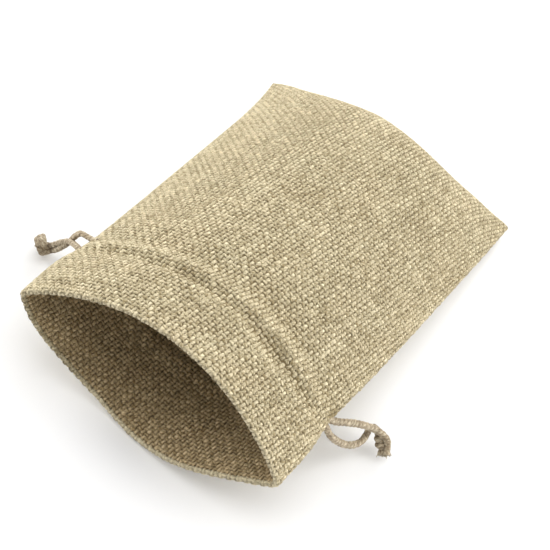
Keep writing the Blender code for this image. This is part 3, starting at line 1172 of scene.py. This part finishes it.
class NodeTree:
    """A node tree that is being built, with short ways to add nodes."""

    def __init__(self, tree: bpy.types.NodeTree) -> None:
        """Starts with an empty tree."""
        self.tree = tree
        tree.nodes.clear()

    def add(
        self, kind: str, inputs: dict[str | int, object] | None = None, **settings: object
    ) -> bpy.types.Node:
        """Adds a node.

        Args:
            kind: the node's type name, without its prefix.
            inputs: an output to link, or a value to set, for each input.
            settings: properties of the node.

        Returns:
            The node.
        """
        node = self.tree.nodes.new(kind if kind.startswith("Node") else "ShaderNode" + kind)
        for name, value in settings.items():
            setattr(node, name, value)
        for name, value in (inputs or {}).items():
            if isinstance(value, bpy.types.NodeSocket):
                self.tree.links.new(value, node.inputs[name])
            else:
                node.inputs[name].default_value = value
        return node

    def maths(self, operation: str, *values: object) -> bpy.types.NodeSocket:
        """The output of a Math node."""
        node = self.add("Math", dict(enumerate(values)), operation=operation)
        return node.outputs[0]

    def noise(self, inputs: dict[str | int, object]) -> bpy.types.NodeSocket:
        """The value of a Noise Texture node."""
        return self.add("TexNoise", inputs).outputs[0]

    def mixed(self, share: object, first: object, second: object, blend: str = "MIX") -> bpy.types.NodeSocket:
        """The output of a colour Mix node.

        Args:
            share: how much of the second colour there is.
            first: the first colour.
            second: the second colour.
            blend: how the second is laid over the first.

        Returns:
            The mixed colour.
        """
        node = self.add("Mix", data_type="RGBA", blend_type=blend)
        for socket, value in zip((node.inputs[0], node.inputs[6], node.inputs[7]), (share, first, second)):
            if isinstance(value, bpy.types.NodeSocket):
                self.tree.links.new(value, socket)
            else:
                socket.default_value = value
        return node.outputs[2]


def node_group(
    name: str, inputs: dict[str, float], outputs: tuple[str, ...]
) -> tuple[NodeTree, bpy.types.Node]:
    """Starts a shader node group with named value sockets.

    Args:
        name: the group's name.
        inputs: its inputs and their defaults.
        outputs: its outputs.

    Returns:
        The tree to fill, and its input node.
    """
    group = bpy.data.node_groups.new(name, "ShaderNodeTree")
    for label, default in inputs.items():
        socket = group.interface.new_socket(label, in_out="INPUT", socket_type="NodeSocketFloat")
        socket.default_value = default
    for label in outputs:
        group.interface.new_socket(label, in_out="OUTPUT", socket_type="NodeSocketFloat")
    tree = NodeTree(group)
    return tree, tree.add("NodeGroupInput")


# The fibres' streaks: how often a long one and a short one change in a millimetre, how much narrower the
# short ones are, the long ones' share, and the levels that come out darkest and lightest.
LONG_STREAKS = 0.55
SHORT_STREAKS = 2.3
SHORT_FINENESS = 2.2
LONG_SHARE = 0.55
STREAK_LEVELS = (0.41, 0.59)

# How much smaller the blotches of warmth are than those of shade, and where in the noise they are read.
WARMTH_FINENESS = 1.7
WARMTH_PLACE = (0.31, 0.17, 0.53)


def fibre_group() -> bpy.types.NodeTree:
    """The twisted fibres of a yarn: long streaks that wind round it, and short broken ones.

    Returns:
        The group, which puts out a shade and a height.
    """
    tree, given = node_group(
        "yarn_fibres", {"Along": 0.0, "Around": 0.0, "Twist": 0.3, "Fineness": 7.0}, ("Shade", "Height")
    )
    twisted = tree.maths("MULTIPLY", given.outputs["Along"], given.outputs["Twist"])
    wound = tree.maths("ADD", given.outputs["Around"], twisted)
    lane = tree.maths("MULTIPLY", wound, given.outputs["Fineness"])
    slow = tree.maths("MULTIPLY", given.outputs["Along"], LONG_STREAKS)
    long_place = tree.add("CombineXYZ", {"X": slow, "Y": lane, "Z": 3.1}).outputs[0]
    streaks = tree.noise({"Vector": long_place, "Scale": 1.0, "Detail": 3.0, "Roughness": 0.6})
    quick = tree.maths("MULTIPLY", given.outputs["Along"], SHORT_STREAKS)
    fine_lane = tree.maths("MULTIPLY", lane, SHORT_FINENESS)
    short_place = tree.add("CombineXYZ", {"X": quick, "Y": fine_lane, "Z": 8.4}).outputs[0]
    broken = tree.noise({"Vector": short_place, "Scale": 1.0, "Detail": 2.0, "Roughness": 0.7})
    long_part = tree.maths("MULTIPLY", streaks, LONG_SHARE)
    short_part = tree.maths("MULTIPLY", broken, 1 - LONG_SHARE)
    both = tree.maths("ADD", long_part, short_part)
    darkest, lightest = STREAK_LEVELS
    spread = tree.add("MapRange", {"Value": both, "From Min": darkest, "From Max": lightest}).outputs[0]
    tree.add("NodeGroupOutput", {"Shade": spread, "Height": spread})
    return tree.tree


def blotch_group() -> bpy.types.NodeTree:
    """Broad, faint differences in tone over the cloth.

    Returns:
        The group, which puts out a shade about 0.5 and a warmth about 0.5.
    """
    tree, given = node_group("cloth_blotches", {"Size": 18.0}, ("Shade", "Warmth"))
    place = tree.add("TexCoord").outputs["Object"]
    scale = tree.maths("DIVIDE", 1 / MM, given.outputs["Size"])
    shade = tree.noise({"Vector": place, "Scale": scale, "Detail": 3.0})
    moved = tree.add("VectorMath", {0: place, 1: WARMTH_PLACE}, operation="ADD").outputs[0]
    finer = tree.maths("MULTIPLY", scale, WARMTH_FINENESS)
    warmth = tree.noise({"Vector": moved, "Scale": finer, "Detail": 2.0})
    tree.add("NodeGroupOutput", {"Shade": shade, "Warmth": warmth})
    return tree.tree


@dataclass(frozen=True)
class YarnFinish:
    """A matt finish of spun fibres.

    Attributes:
        name: the material's name.
        light: colour of the lightest fibres.
        dark: colour of the darkest fibres.
        warm: tint of the warmer blotches.
        twist: turns of the fibres for each millimetre of yarn.
        fineness: streaks side by side round the yarn.
        relief: height of the fibres.
        roughness: roughness of the fibres.
        sheen: weight of the soft sheen that loose fibres give.
        tone_reach: how strongly a yarn's tone shows, its own with the painted light and shade in it.
        blotching: how strongly the broad blotches show.
        shade_tint: tint of the painted shade in the deepest places, where yarns lie in each other's shadow.
        shadow: how strongly that painted shade shows.
        contrast: how much of the way from the darkest to the lightest the streaks take up.
        polish: how much smoother the lightest fibres are.
        sheen_roughness: how broadly the sheen spreads.
        gloss: strength of the mirror-like share of light.
    """

    name: str
    light: tuple[float, float, float]
    dark: tuple[float, float, float]
    warm: tuple[float, float, float]
    twist: float
    fineness: float
    relief: float
    roughness: float
    sheen: float
    tone_reach: float
    blotching: float
    shade_tint: tuple[float, float, float]
    shadow: float
    contrast: float = 0.9
    polish: float = 0.08
    sheen_roughness: float = 0.6
    gloss: float = 0.18

    def material(self, fibres: bpy.types.NodeTree, blotches: bpy.types.NodeTree) -> bpy.types.Material:
        """Builds the material.

        Args:
            fibres: the group of twisted fibres.
            blotches: the group of broad tones.

        Returns:
            The material.
        """
        material = bpy.data.materials.new(self.name)
        material.use_nodes = True
        tree = NodeTree(material.node_tree)
        place = tree.add("UVMap", uv_map="yarn").outputs[0]
        split = tree.add("SeparateXYZ", {0: place})
        spun = tree.add("Group", node_tree=fibres)
        tree.tree.links.new(split.outputs["X"], spun.inputs["Along"])
        tree.tree.links.new(split.outputs["Y"], spun.inputs["Around"])
        spun.inputs["Twist"].default_value = self.twist
        spun.inputs["Fineness"].default_value = self.fineness
        broad = tree.add("Group", node_tree=blotches)
        tone = tree.add("Attribute", attribute_name="tone").outputs["Fac"]
        depth = tree.add("Attribute", attribute_name="depth").outputs["Fac"]
        # The tone map holds each yarn's own tone with painted light and shade added.
        toned = tree.maths("MULTIPLY", tone, self.tone_reach)
        spread = tree.maths("MULTIPLY_ADD", spun.outputs["Shade"], self.contrast, (1 - self.contrast) / 2)
        blotched = tree.maths("MULTIPLY_ADD", broad.outputs["Shade"], self.blotching, -0.5 * self.blotching)
        shade = tree.maths("ADD", tree.maths("ADD", spread, toned), blotched)
        share = tree.add("Clamp", {"Value": shade}).outputs[0]
        straw = tree.mixed(share, (*self.dark, 1.0), (*self.light, 1.0))
        warmer = tree.mixed(broad.outputs["Warmth"], straw, (*self.warm, 1.0), "MULTIPLY")
        # Painted shade: the deeper a point lies, the more the shade tint darkens its colour.
        shade_share = tree.maths("MULTIPLY", depth, self.shadow)
        deeper = tree.mixed(shade_share, warmer, (*self.shade_tint, 1.0), "MULTIPLY")
        rough = tree.maths("MULTIPLY_ADD", spun.outputs["Shade"], -self.polish, self.roughness)
        relief = {"Height": spun.outputs["Height"], "Distance": self.relief * MM, "Strength": 1.0}
        bump = tree.add("Bump", relief).outputs[0]
        shader = tree.add("BsdfPrincipled", {"Base Color": deeper, "Roughness": rough, "Normal": bump})
        shader.inputs["Sheen Weight"].default_value = self.sheen
        shader.inputs["Sheen Roughness"].default_value = self.sheen_roughness
        shader.inputs["Specular IOR Level"].default_value = self.gloss
        tree.add("OutputMaterial", {"Surface": shader.outputs[0]})
        return material


STRAW_YARN = YarnFinish(
    name="straw_yarn",
    light=(0.88, 0.79, 0.545),
    dark=(0.335, 0.268, 0.138),
    warm=(0.97, 0.92, 0.88),
    twist=0.32,
    fineness=6.0,
    relief=0.12,
    roughness=0.92,
    sheen=0.12,
    tone_reach=0.26,
    blotching=0.35,
    shade_tint=(0.34, 0.28, 0.19),
    shadow=0.25,
)
# A darker, warmer copy of the straw yarn, with deeper shade tint: painted shade for the hems inside the
# mouth.
SHADED_STRAW_YARN = replace(
    STRAW_YARN,
    name="shaded_straw_yarn",
    light=(0.87, 0.705, 0.425),
    dark=(0.35, 0.25, 0.11),
    shade_tint=(0.28, 0.21, 0.13),
    shadow=0.85,
)
# Near black-brown finish of the ground sheet: painted shade in the gaps between the yarns.
GAP_SHADE_STRAW = YarnFinish(
    name="painted_gap_shade",
    light=(0.24, 0.19, 0.10),
    dark=(0.12, 0.09, 0.045),
    warm=(0.96, 0.90, 0.86),
    twist=0.3,
    fineness=9.0,
    relief=0.05,
    roughness=0.95,
    sheen=0.0,
    tone_reach=0.2,
    blotching=0.35,
    shade_tint=(1.0, 1.0, 1.0),
    shadow=0.0,
)
CORD_FIBRE = YarnFinish(
    name="pale_cord",
    light=(0.74, 0.67, 0.505),
    dark=(0.25, 0.20, 0.128),
    warm=(0.98, 0.90, 0.84),
    twist=0.16,
    fineness=7.0,
    relief=0.08,
    roughness=0.88,
    sheen=0.12,
    tone_reach=0.35,
    blotching=0.4,
    shade_tint=(0.42, 0.34, 0.26),
    shadow=0.85,
)


# ---------------------------------------------------------------- ties


@dataclass(frozen=True)
class Tie:
    """A drawstring's two strands and their knot at one side seam.

    Attributes:
        name: the tie's name.
        girth: how thick its cord is, as a share of the braid's usual thickness.
        knot: middle of the knot.
        axis: direction of the line that the knot's turns run round.
        outer: radius of the knot.
        wraps: turns of cord round the knot.
        pitch: how far the turns lie apart.
        first_turn: where round the knot the turns begin, in turns.
        sense: 1 or -1, the way that they run round.
        taper: how far the last turns close in, as a share of their radius.
        shaded: how far before its end a strand goes into the knot's shadow, or 0.
        far_route: points of the far strand, from inside the seam through the knot.
        near_route: points of the near strand.
        lead: points from which the turns begin, where they go on from a strand.
        tail: points of a further cord end that hangs out of the knot.
        frayed: the cord ends that are frayed, each as the place of its end and its direction.
    """

    name: str
    girth: float
    knot: tuple[float, float, float]
    axis: tuple[float, float, float]
    outer: float
    wraps: float
    pitch: float
    first_turn: float
    sense: int
    taper: float
    shaded: float
    far_route: tuple[tuple[float, float, float], ...]
    near_route: tuple[tuple[float, float, float], ...]
    lead: tuple[tuple[float, float, float], ...] = ()
    tail: tuple[tuple[float, float, float], ...] = ()
    frayed: tuple[tuple[tuple[float, float, float], tuple[float, float, float]], ...] = ()


LEFT_TIE = Tie(
    name="left_tie",
    girth=0.87,
    knot=(-61.4, -39.1, 4.05),
    axis=(-0.61, -0.71, -0.33),
    outer=3.5,
    wraps=3.0,
    pitch=1.0,
    first_turn=0.15,
    sense=1,
    taper=0.25,
    shaded=3.2,
    far_route=(
        (-39.6, -39.6, 25.6), (-41.6, -39.1, 23.6), (-44.6, -38.5, 22.2), (-47.5, -38.1, 20.9),
        (-49.5, -38.4, 17.9), (-51.2, -38.4, 14.0), (-54.0, -38.7, 9.2), (-56.7, -39.2, 5.6),
        (-60.0, -40.0, 3.6),
    ),
    near_route=(
        (-38.4, -43.6, 21.6), (-41.2, -43.7, 22.2), (-43.7, -43.0, 21.4), (-46.9, -41.2, 18.9),
        (-50.5, -39.3, 15.5), (-54.4, -38.2, 10.8), (-57.2, -38.6, 7.4), (-60.4, -39.6, 4.4),
    ),
)
RIGHT_TIE = Tie(
    name="right_tie",
    girth=1.02,
    knot=(56.9, -29.2, 4.5),
    axis=(0.65, -0.39, -0.65),
    outer=2.0,
    wraps=2.2,
    pitch=1.75,
    first_turn=0.55,
    sense=-1,
    taper=0.0,
    shaded=0.0,
    far_route=(
        (40.2, -42.4, 22.2), (42.2, -41.8, 20.2), (44.5, -39.9, 18.0), (46.8, -36.8, 15.6),
        (49.3, -33.7, 13.2), (52.3, -31.0, 10.8), (55.3, -29.4, 8.9), (58.2, -29.0, 6.6), (60.0, -30.7, 3.2),
    ),
    near_route=(
        (37.8, -43.6, 19.4), (40.8, -43.9, 19.6), (42.8, -43.2, 18.4), (45.3, -42.5, 14.4),
        (48.4, -39.7, 9.4), (50.7, -36.8, 6.7), (52.2, -33.7, 5.7), (52.4, -31.3, 6.5), (52.1, -29.8, 8.6),
    ),
    lead=((52.1, -30.0, 8.2), (52.7, -29.0, 8.2), (53.8, -28.3, 7.4)),
    tail=((55.0, -28.8, 5.4), (56.9, -29.5, 4.4), (58.1, -30.2, 3.2), (58.9, -31.1, 2.4)),
    frayed=(((60.0, -30.7, 3.2), (0.5, -0.5, -0.75)), ((58.9, -31.1, 2.4), (0.5, -0.7, -0.5))),
)


@dataclass(frozen=True)
class BraidForm:
    """Sizes of a round braid, and how uneven it is.

    Attributes:
        diameter: the cord's diameter.
        strands: strands that run each way round.
        pitch: length in which a strand goes once round.
        relief: depth of the grooves between strands, as a share of the radius.
        low_share: how far a strand stands out of the grooves where it runs under another.
        uneven: how far the thickness varies, as a share, and the length over which it changes.
        toned: how far the tone varies, and the length over which it changes.
        shade_tone: how much darker the cord is where it lies in its knot's shadow.
        shade_reach: how far that spreads along it.
        far_tone: how much lighter the far strand is.
        tail_tone: how much lighter a further cord end is, negative for darker.
        groove_power: how sharply the painted shade in the grooves is drawn.
        facing: the direction from which the strands are laid out round the cord.
        route_points: points at which a route's curve is measured.
        rings_per_mm: how finely the mesh is cut along the cord.
        round_count: points round the cord.
    """

    diameter: float = 2.2
    strands: int = 4
    pitch: float = 6.4
    relief: float = 0.24
    low_share: float = 0.35
    uneven: tuple[float, float] = (0.05, 1.1)
    toned: tuple[float, float] = (0.35, 0.8)
    shade_tone: float = 2.2
    shade_reach: float = 0.7
    far_tone: float = 0.1
    tail_tone: float = -0.1
    groove_power: float = 1.5
    facing: tuple[float, float, float] = (0.31, 0.52, 0.79)
    route_points: int = 400
    rings_per_mm: float = 5.0
    round_count: int = 24

    def radius(self, along: np.ndarray, turn: np.ndarray) -> np.ndarray:
        """The cord's radius on the braid's strands.

        Args:
            along: lengths along the cord.
            turn: turns round it.

        Returns:
            Radii.
        """
        one = self.strands * (turn + along / self.pitch)
        other = self.strands * (turn - along / self.pitch)
        heights = []
        for across, run in ((one, other), (other, one)):
            lane = np.floor(across)
            bulge = np.sqrt(np.maximum(0.0, 1 - (2 * (across - lane) - 1) ** 2))
            over = 0.5 + 0.5 * np.cos(np.pi * (run - 0.5 + lane))
            heights.append(bulge * (self.low_share + (1 - self.low_share) * over))
        return self.diameter / 2 * (1 - self.relief + self.relief * np.maximum(*heights))


@dataclass(frozen=True)
class KnotForm:
    """How the turns of cord round a knot run.

    Attributes:
        points: points along the turns.
        dive: turns over which an end dives into the knot.
        dive_reach: how near the axis it ends, as a share of the turns' radius.
        taper_from: share of the turns past which they close in.
        taper_power: how late they do.
        wobble: how far they stray along the axis.
        lead_skip: points left out where the turns go on from a strand.
        lead_step: how many points make one there.
        tone: their lightness, about 0.
    """

    points: int = 260
    dive: float = 0.16
    dive_reach: float = 0.35
    taper_from: float = 0.6
    taper_power: float = 1.5
    wobble: float = 0.3
    lead_skip: int = 24
    lead_step: int = 8
    tone: float = -0.3


@dataclass(frozen=True)
class FrayForm:
    """Sizes of the loose fibres at a frayed cord end, and how unlike they are.

    Attributes:
        each: fibres at each end.
        rings: rings along a fibre.
        spread: how far from the cord's middle they start.
        back: how far before the cord's end they start.
        splay: how strongly they lean outwards.
        stray: how far their directions differ.
        curl: how far their tips curl away.
        lengths: the shortest and the longest.
        clearance: how far above the floor they stay.
        root: a fibre's radius at its start.
        thinning: how much smaller it is at the tip.
        facing: the direction that their sections face.
        tone: their lightness, about 0, and how far it differs.
    """

    each: int = 34
    rings: int = 7
    spread: float = 0.42
    back: float = 0.9
    splay: float = 0.38
    stray: float = 0.12
    curl: float = 0.2
    lengths: tuple[float, float] = (1.2, 1.9)
    clearance: float = 0.2
    root: float = 0.17
    thinning: float = 0.08
    facing: tuple[float, float, float] = (0.2, -0.5, 0.8)
    tone: tuple[float, float] = (0.35, 0.4)


class TieCords:
    """The braided cords of a tie, the turns of its knot and its frayed ends."""

    def __init__(self, tie: Tie, braid: BraidForm, seed: int = 5) -> None:
        """Places the knot.

        Args:
            tie: the tie.
            braid: the cord's form.
            seed: picks the random numbers.
        """
        self.tie = tie
        self.braid = braid
        self.axis = unit(np.array(tie.axis))
        self.aside = unit(np.cross(self.axis, (0.0, 0.0, 1.0)))
        self.other = np.cross(self.axis, self.aside)
        self.knot = np.array(tie.knot)
        self.rng = np.random.default_rng(seed)

    def _line(self, points: np.ndarray) -> tuple[np.ndarray, float]:
        """A smooth line through points.

        Args:
            points: the points.

        Returns:
            Points of the line, evenly spaced, and its length.
        """
        length = run_lengths(points)
        at = np.linspace(0.0, length[-1], self.braid.route_points)
        line = np.stack([smooth_values(length, points[:, axis], at) for axis in range(3)], axis=1)
        total = float(np.linalg.norm(np.diff(line, axis=0), axis=1).sum())
        return evenly(line, int(total * self.braid.rings_per_mm))[0], total

    def _tube(self, name: str, line: np.ndarray, tone: float, shaded: float = 0.0) -> bpy.types.Object:
        """A braided tube along a line.

        Args:
            name: the piece's name.
            line: points of the centre line, evenly spaced.
            tone: lightness of the cord, about 0.
            shaded: how far before its end it is darker, or 0.

        Returns:
            The piece.
        """
        along = run_lengths(line)
        forward = unit(np.gradient(line, axis=0))
        upward = np.empty_like(line)
        upward[0] = unit(np.cross(forward[0], self.braid.facing))
        for i in range(1, len(line)):
            upward[i] = unit(upward[i - 1] - forward[i] * upward[i - 1].dot(forward[i]))
        aside = np.cross(forward, upward)
        turn = np.arange(self.braid.round_count) / self.braid.round_count
        share, reach = self.braid.uneven
        uneven = 1 + share * wander(self.rng, 1, along, reach)[0]
        radius = self.braid.radius(along[:, None], turn[None, :]) * (self.tie.girth * uneven)[:, None]
        angle = 2 * np.pi * turn
        rings = line[:, None] + radius[..., None] * (
            np.cos(angle)[:, None] * upward[:, None] + np.sin(angle)[:, None] * aside[:, None]
        )
        # Painted shade in the braid's grooves: the deeper a point lies, the darker the finish draws it.
        shallow = (radius / radius.max() - 1 + self.braid.relief) / self.braid.relief
        grooves = np.clip(1 - shallow, 0, 1) ** self.braid.groove_power
        height, reach = self.braid.toned
        tones = tone + height * wander(self.rng, 1, along, reach)
        if shaded:
            past = (along - along[-1] + shaded) / self.braid.shade_reach
            tones -= self.braid.shade_tone * np.exp(-(past**2))
        whole = np.ones((1, len(line)), bool)
        return Tubes(rings[None], along[None], tones, grooves[None], whole).to_object(name)

    def strand(self, far: bool) -> tuple[bpy.types.Object, np.ndarray, float]:
        """One strand, from inside the seam into the knot or through it.

        Args:
            far: True for the far strand.

        Returns:
            The piece, its centre line and its length.
        """
        route = self.tie.far_route if far else self.tie.near_route
        line, total = self._line(np.array(route))
        name = self.tie.name + ("_far_cord" if far else "_near_cord")
        piece = self._tube(name, line, self.braid.far_tone if far else 0.0, self.tie.shaded)
        return piece, line, total

    def wrap(self, form: KnotForm = KnotForm()) -> bpy.types.Object:
        """The turns of cord round the knot, whose ends dive into it.

        Args:
            form: how the turns run.

        Returns:
            The piece.
        """
        tie = self.tie
        radius = tie.outer - tie.girth * self.braid.diameter / 2
        t = np.linspace(0.0, 1.0, form.points)
        angle = 2 * np.pi * tie.sense * (tie.wraps * t + tie.first_turn)
        dive = np.clip(np.minimum(t, 1 - t) * tie.wraps / form.dive, 0, 1)
        dive = dive * dive * (3 - 2 * dive)
        late = np.clip((t - form.taper_from) / (1 - form.taper_from), 0, 1)
        closed = 1 - tie.taper * late**form.taper_power
        reach = radius * (form.dive_reach + (1 - form.dive_reach) * dive) * closed
        place = (t - 0.5) * tie.wraps * tie.pitch + form.wobble * np.sin(angle)
        points = (
            self.knot
            + self.axis * place[:, None]
            + self.aside * (np.cos(angle) * reach)[:, None]
            + self.other * (np.sin(angle) * reach)[:, None]
        )
        if tie.lead:
            points = np.vstack([tie.lead, points[form.lead_skip :: form.lead_step]])
        return self._tube(tie.name + "_knot_wraps", self._line(points)[0], form.tone)

    def loose_ends(self) -> list[bpy.types.Object]:
        """The further cord end and the frayed fibres, where the tie has them.

        Returns:
            The pieces, none where the tie has neither.
        """
        tie = self.tie
        pieces = []
        if tie.tail:
            tail = self._line(np.array(tie.tail))[0]
            pieces.append(self._tube(tie.name + "_tail", tail, self.braid.tail_tone))
        if tie.frayed:
            pieces.append(self._fray(tie.name + "_fray", FrayForm()))
        return pieces

    def _fray(self, name: str, form: FrayForm) -> bpy.types.Object:
        """Loose fibres that spread from the frayed ends.

        Args:
            name: the piece's name.
            form: sizes of the fibres.

        Returns:
            The piece.
        """
        t = np.linspace(0.0, 1.0, form.rings)[:, None]
        lines = []
        for end, direction in self.tie.frayed:
            ahead = unit(np.array(direction))
            for _ in range(form.each):
                off = self.rng.normal(0.0, form.spread, 3)
                start = np.array(end) + off - ahead * (off.dot(ahead) + form.back)
                out = unit(ahead + form.splay * off + self.rng.normal(0.0, form.stray, 3))
                curl = self.rng.normal(0.0, form.curl, 3)
                line = start + out * t * self.rng.uniform(*form.lengths) + curl * t**2
                line[:, 2] = np.maximum(line[:, 2], form.clearance)
                lines.append(line)
        centres = np.array(lines)
        along = run_lengths(centres)
        radius = np.broadcast_to(form.root - form.thinning * t[:, 0], along.shape)
        outward = np.broadcast_to(form.facing, centres.shape)
        tones = np.repeat(self.rng.normal(*form.tone, (len(centres), 1)), form.rings, axis=1)
        depth = np.zeros((*along.shape, len(PLAIN_PROFILE)))
        tubes = swept_rings(centres, outward, radius, radius, PLAIN_PROFILE)
        return Tubes(tubes, along, tones, depth, np.ones(along.shape, bool)).to_object(name)


# ---------------------------------------------------------------- the studio


@dataclass(frozen=True)
class Lamp:
    """A square soft light that faces the sack.

    Attributes:
        name: the light's name.
        place: where it hangs, in metres.
        size: its side, in metres.
        power: its power in watts.
    """

    name: str
    place: tuple[float, float, float]
    size: float
    power: float


LAMPS = (
    Lamp("top_light", (0.0, 0.1, 1.3), 1.0, 6.4),
    Lamp("left_light", (-1.1, -0.2, 0.35), 0.8, 9.0),
    Lamp("far_left_light", (-1.0, 0.5, 0.5), 0.8, 7.9),
    Lamp("right_light", (1.1, 0.2, 0.35), 0.8, 7.4),
    Lamp("far_right_light", (0.75, 0.55, 0.85), 0.8, 6.3),
    Lamp("front_light", (-0.45, -0.85, 0.75), 0.8, 1.3),
    Lamp("low_front_light", (0.8, -0.7, 0.6), 0.8, 2.0),
    Lamp("back_light", (0.0, 1.0, 0.6), 0.8, 4.7),
)


@dataclass(frozen=True)
class Studio:
    """A plain pale floor, soft light and the camera.

    Attributes:
        aim: the point that the camera looks at.
        distance: how far the camera is from it.
        azimuth: the camera's direction in degrees, 0 along +Y.
        elevation: how high it looks down from, in degrees.
        roll: how far it is turned about its line of sight, in degrees.
        lens: its focal length.
        sensor: the width of its sensor.
        lamps: the lights.
        lit: the point that they face, in metres.
        surround: strength of the even white surround.
        floor_size: the floor's side, in metres.
        floor_drop: how far it lies below the sack's lowest points, in metres.
    """

    aim: tuple[float, float, float] = (2.9, -8.2, 15.0)
    distance: float = 322.0
    azimuth: float = 21.5
    elevation: float = 53.2
    roll: float = 15.96
    lens: float = 69.9
    sensor: float = 36.0
    lamps: tuple[Lamp, ...] = LAMPS
    lit: tuple[float, float, float] = (0.0, 0.0, 0.02)
    surround: float = 0.18
    floor_size: float = 6.0
    floor_drop: float = 0.0002

    def camera(self) -> None:
        """Makes the camera."""
        a, e, roll = (math.radians(x) for x in (self.azimuth, self.elevation, self.roll))
        back = Vector((math.sin(a) * math.cos(e), -math.cos(a) * math.cos(e), math.sin(e)))
        right = Vector((math.cos(a), math.sin(a), 0.0))
        up = back.cross(right)
        turned_right = right * math.cos(roll) + up * math.sin(roll)
        turned_up = up * math.cos(roll) - right * math.sin(roll)
        data = bpy.data.cameras.new("camera")
        data.lens = self.lens
        data.sensor_width = self.sensor
        data.clip_start = 0.01
        axes = Matrix((turned_right, turned_up, back)).transposed().to_4x4()
        place = (Vector(self.aim) + back * self.distance) * MM
        eye = linked("camera", data)
        eye.matrix_world = Matrix.Translation(place) @ axes
        bpy.context.scene.camera = eye

    def floor(self) -> None:
        """Makes the floor that the sack lies on."""
        bpy.ops.mesh.primitive_plane_add(size=self.floor_size, location=(0.0, 0.0, -self.floor_drop))
        floor = bpy.context.object
        floor.name = "floor"
        material = bpy.data.materials.new("pale_floor")
        material.use_nodes = True
        shader = material.node_tree.nodes["Principled BSDF"]
        shader.inputs["Base Color"].default_value = (0.93, 0.93, 0.93, 1.0)
        shader.inputs["Roughness"].default_value = 0.9
        shader.inputs["Specular IOR Level"].default_value = 0.1
        floor.data.materials.append(material)

    def light(self, lamp: Lamp) -> None:
        """Makes a light.

        Args:
            lamp: its name, place, size and power.
        """
        data = bpy.data.lights.new(lamp.name, "AREA")
        data.shape = "SQUARE"
        data.size = lamp.size
        data.energy = lamp.power
        hung = linked(lamp.name, data)
        hung.location = lamp.place
        hung.rotation_euler = (Vector(self.lit) - Vector(lamp.place)).to_track_quat("-Z", "Y").to_euler()

    def surroundings(self) -> None:
        """Makes an even white surround."""
        world = bpy.data.worlds.new("studio")
        world.use_nodes = True
        sky = world.node_tree.nodes["Background"]
        sky.inputs["Color"].default_value = (1.0, 1.0, 1.0, 1.0)
        sky.inputs["Strength"].default_value = self.surround
        bpy.context.scene.world = world

    def build(self) -> None:
        """Makes the whole studio."""
        self.camera()
        self.floor()
        for lamp in self.lamps:
            self.light(lamp)
        self.surroundings()
        bpy.context.scene.view_settings.view_transform = "Standard"


# ---------------------------------------------------------------- the sack


def dress(piece: bpy.types.Object, material: bpy.types.Material) -> bpy.types.Object:
    """Gives a piece its material and its body.

    Args:
        piece: the piece.
        material: its material.

    Returns:
        The piece.
    """
    piece.data.materials.clear()
    piece.data.materials.append(material)
    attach(piece, ROOT)
    triangles = sum(len(face.vertices) - 2 for face in piece.data.polygons)
    log.info("%s: %d triangles", piece.name, triangles)
    return piece


@dataclass
class SackCloth:
    """The whole cloth of the sack.

    Attributes:
        weave: makes its yarns.
        yarn: material of the panels' yarns.
        inner: material of the hems' yarns, a darker, warmer copy of the panels' one: painted shade inside the
            mouth.
        deep: material of the ground sheet, painted shade in the gaps between the yarns.
    """

    weave: Weave
    yarn: bpy.types.Material
    inner: bpy.types.Material
    deep: bpy.types.Material

    def build(self) -> list[bpy.types.Object]:
        """Weaves every stretch of the cloth and lays the ground sheet in it.

        Returns:
            The pieces.
        """
        pieces = []
        for seed, part in enumerate(Part):
            warp = self.weave.warp(part.value + "_warp", part)
            weft = self.weave.weft(part.value + "_weft", part, WEFT_SEED + seed)
            # The hems take the darker copy of the yarn finish, painted shade for the inside of the mouth.
            yarn = self.inner if part in (Part.FRONT_HEM, Part.BACK_HEM) else self.yarn
            pieces += [dress(warp, yarn), dress(weft, yarn)]
        ground, length = self.weave.ground("cloth_gap_shade_sheet", GROUND_THICKNESS, GROUND_SKIP, GROUND_DROP)
        dress(ground, self.deep)
        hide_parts("sack_cloth")
        log.info("cloth length %.1f mm", length)
        return [ground, *pieces]


def build_tie(tie: Tie, material: bpy.types.Material) -> None:
    """Args:
        tie: the tie.
        material: the cord's material.
    """
    cords = TieCords(tie, BraidForm())
    wrap = dress(cords.wrap(), material)
    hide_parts(tie.name + "_knot")
    ends = [dress(piece, material) for piece in cords.loose_ends()]
    for far, node in ((True, "_far"), (False, "_near")):
        piece, line, length = cords.strand(far)
        dress(piece, material)
        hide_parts(tie.name + node)
        log.info("%s: %.1f mm", piece.name, length)


def main() -> None:
    """Builds the studio, the cloth and the ties."""
    logging.basicConfig(level=logging.INFO, format="%(message)s")
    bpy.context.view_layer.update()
    Studio().build()
    fibres = fibre_group()
    blotches = blotch_group()
    cord = CORD_FIBRE.material(fibres, blotches)
    for tie in (LEFT_TIE, RIGHT_TIE):
        build_tie(tie, cord)
    weave = Weave(WovenSurface(SackShape()), YarnForm())
    finishes = (STRAW_YARN, SHADED_STRAW_YARN, GAP_SHADE_STRAW)
    straw, inner, deep = (finish.material(fibres, blotches) for finish in finishes)
    SackCloth(weave, straw, inner, deep).build()


if __name__ == "__main__":
    main()
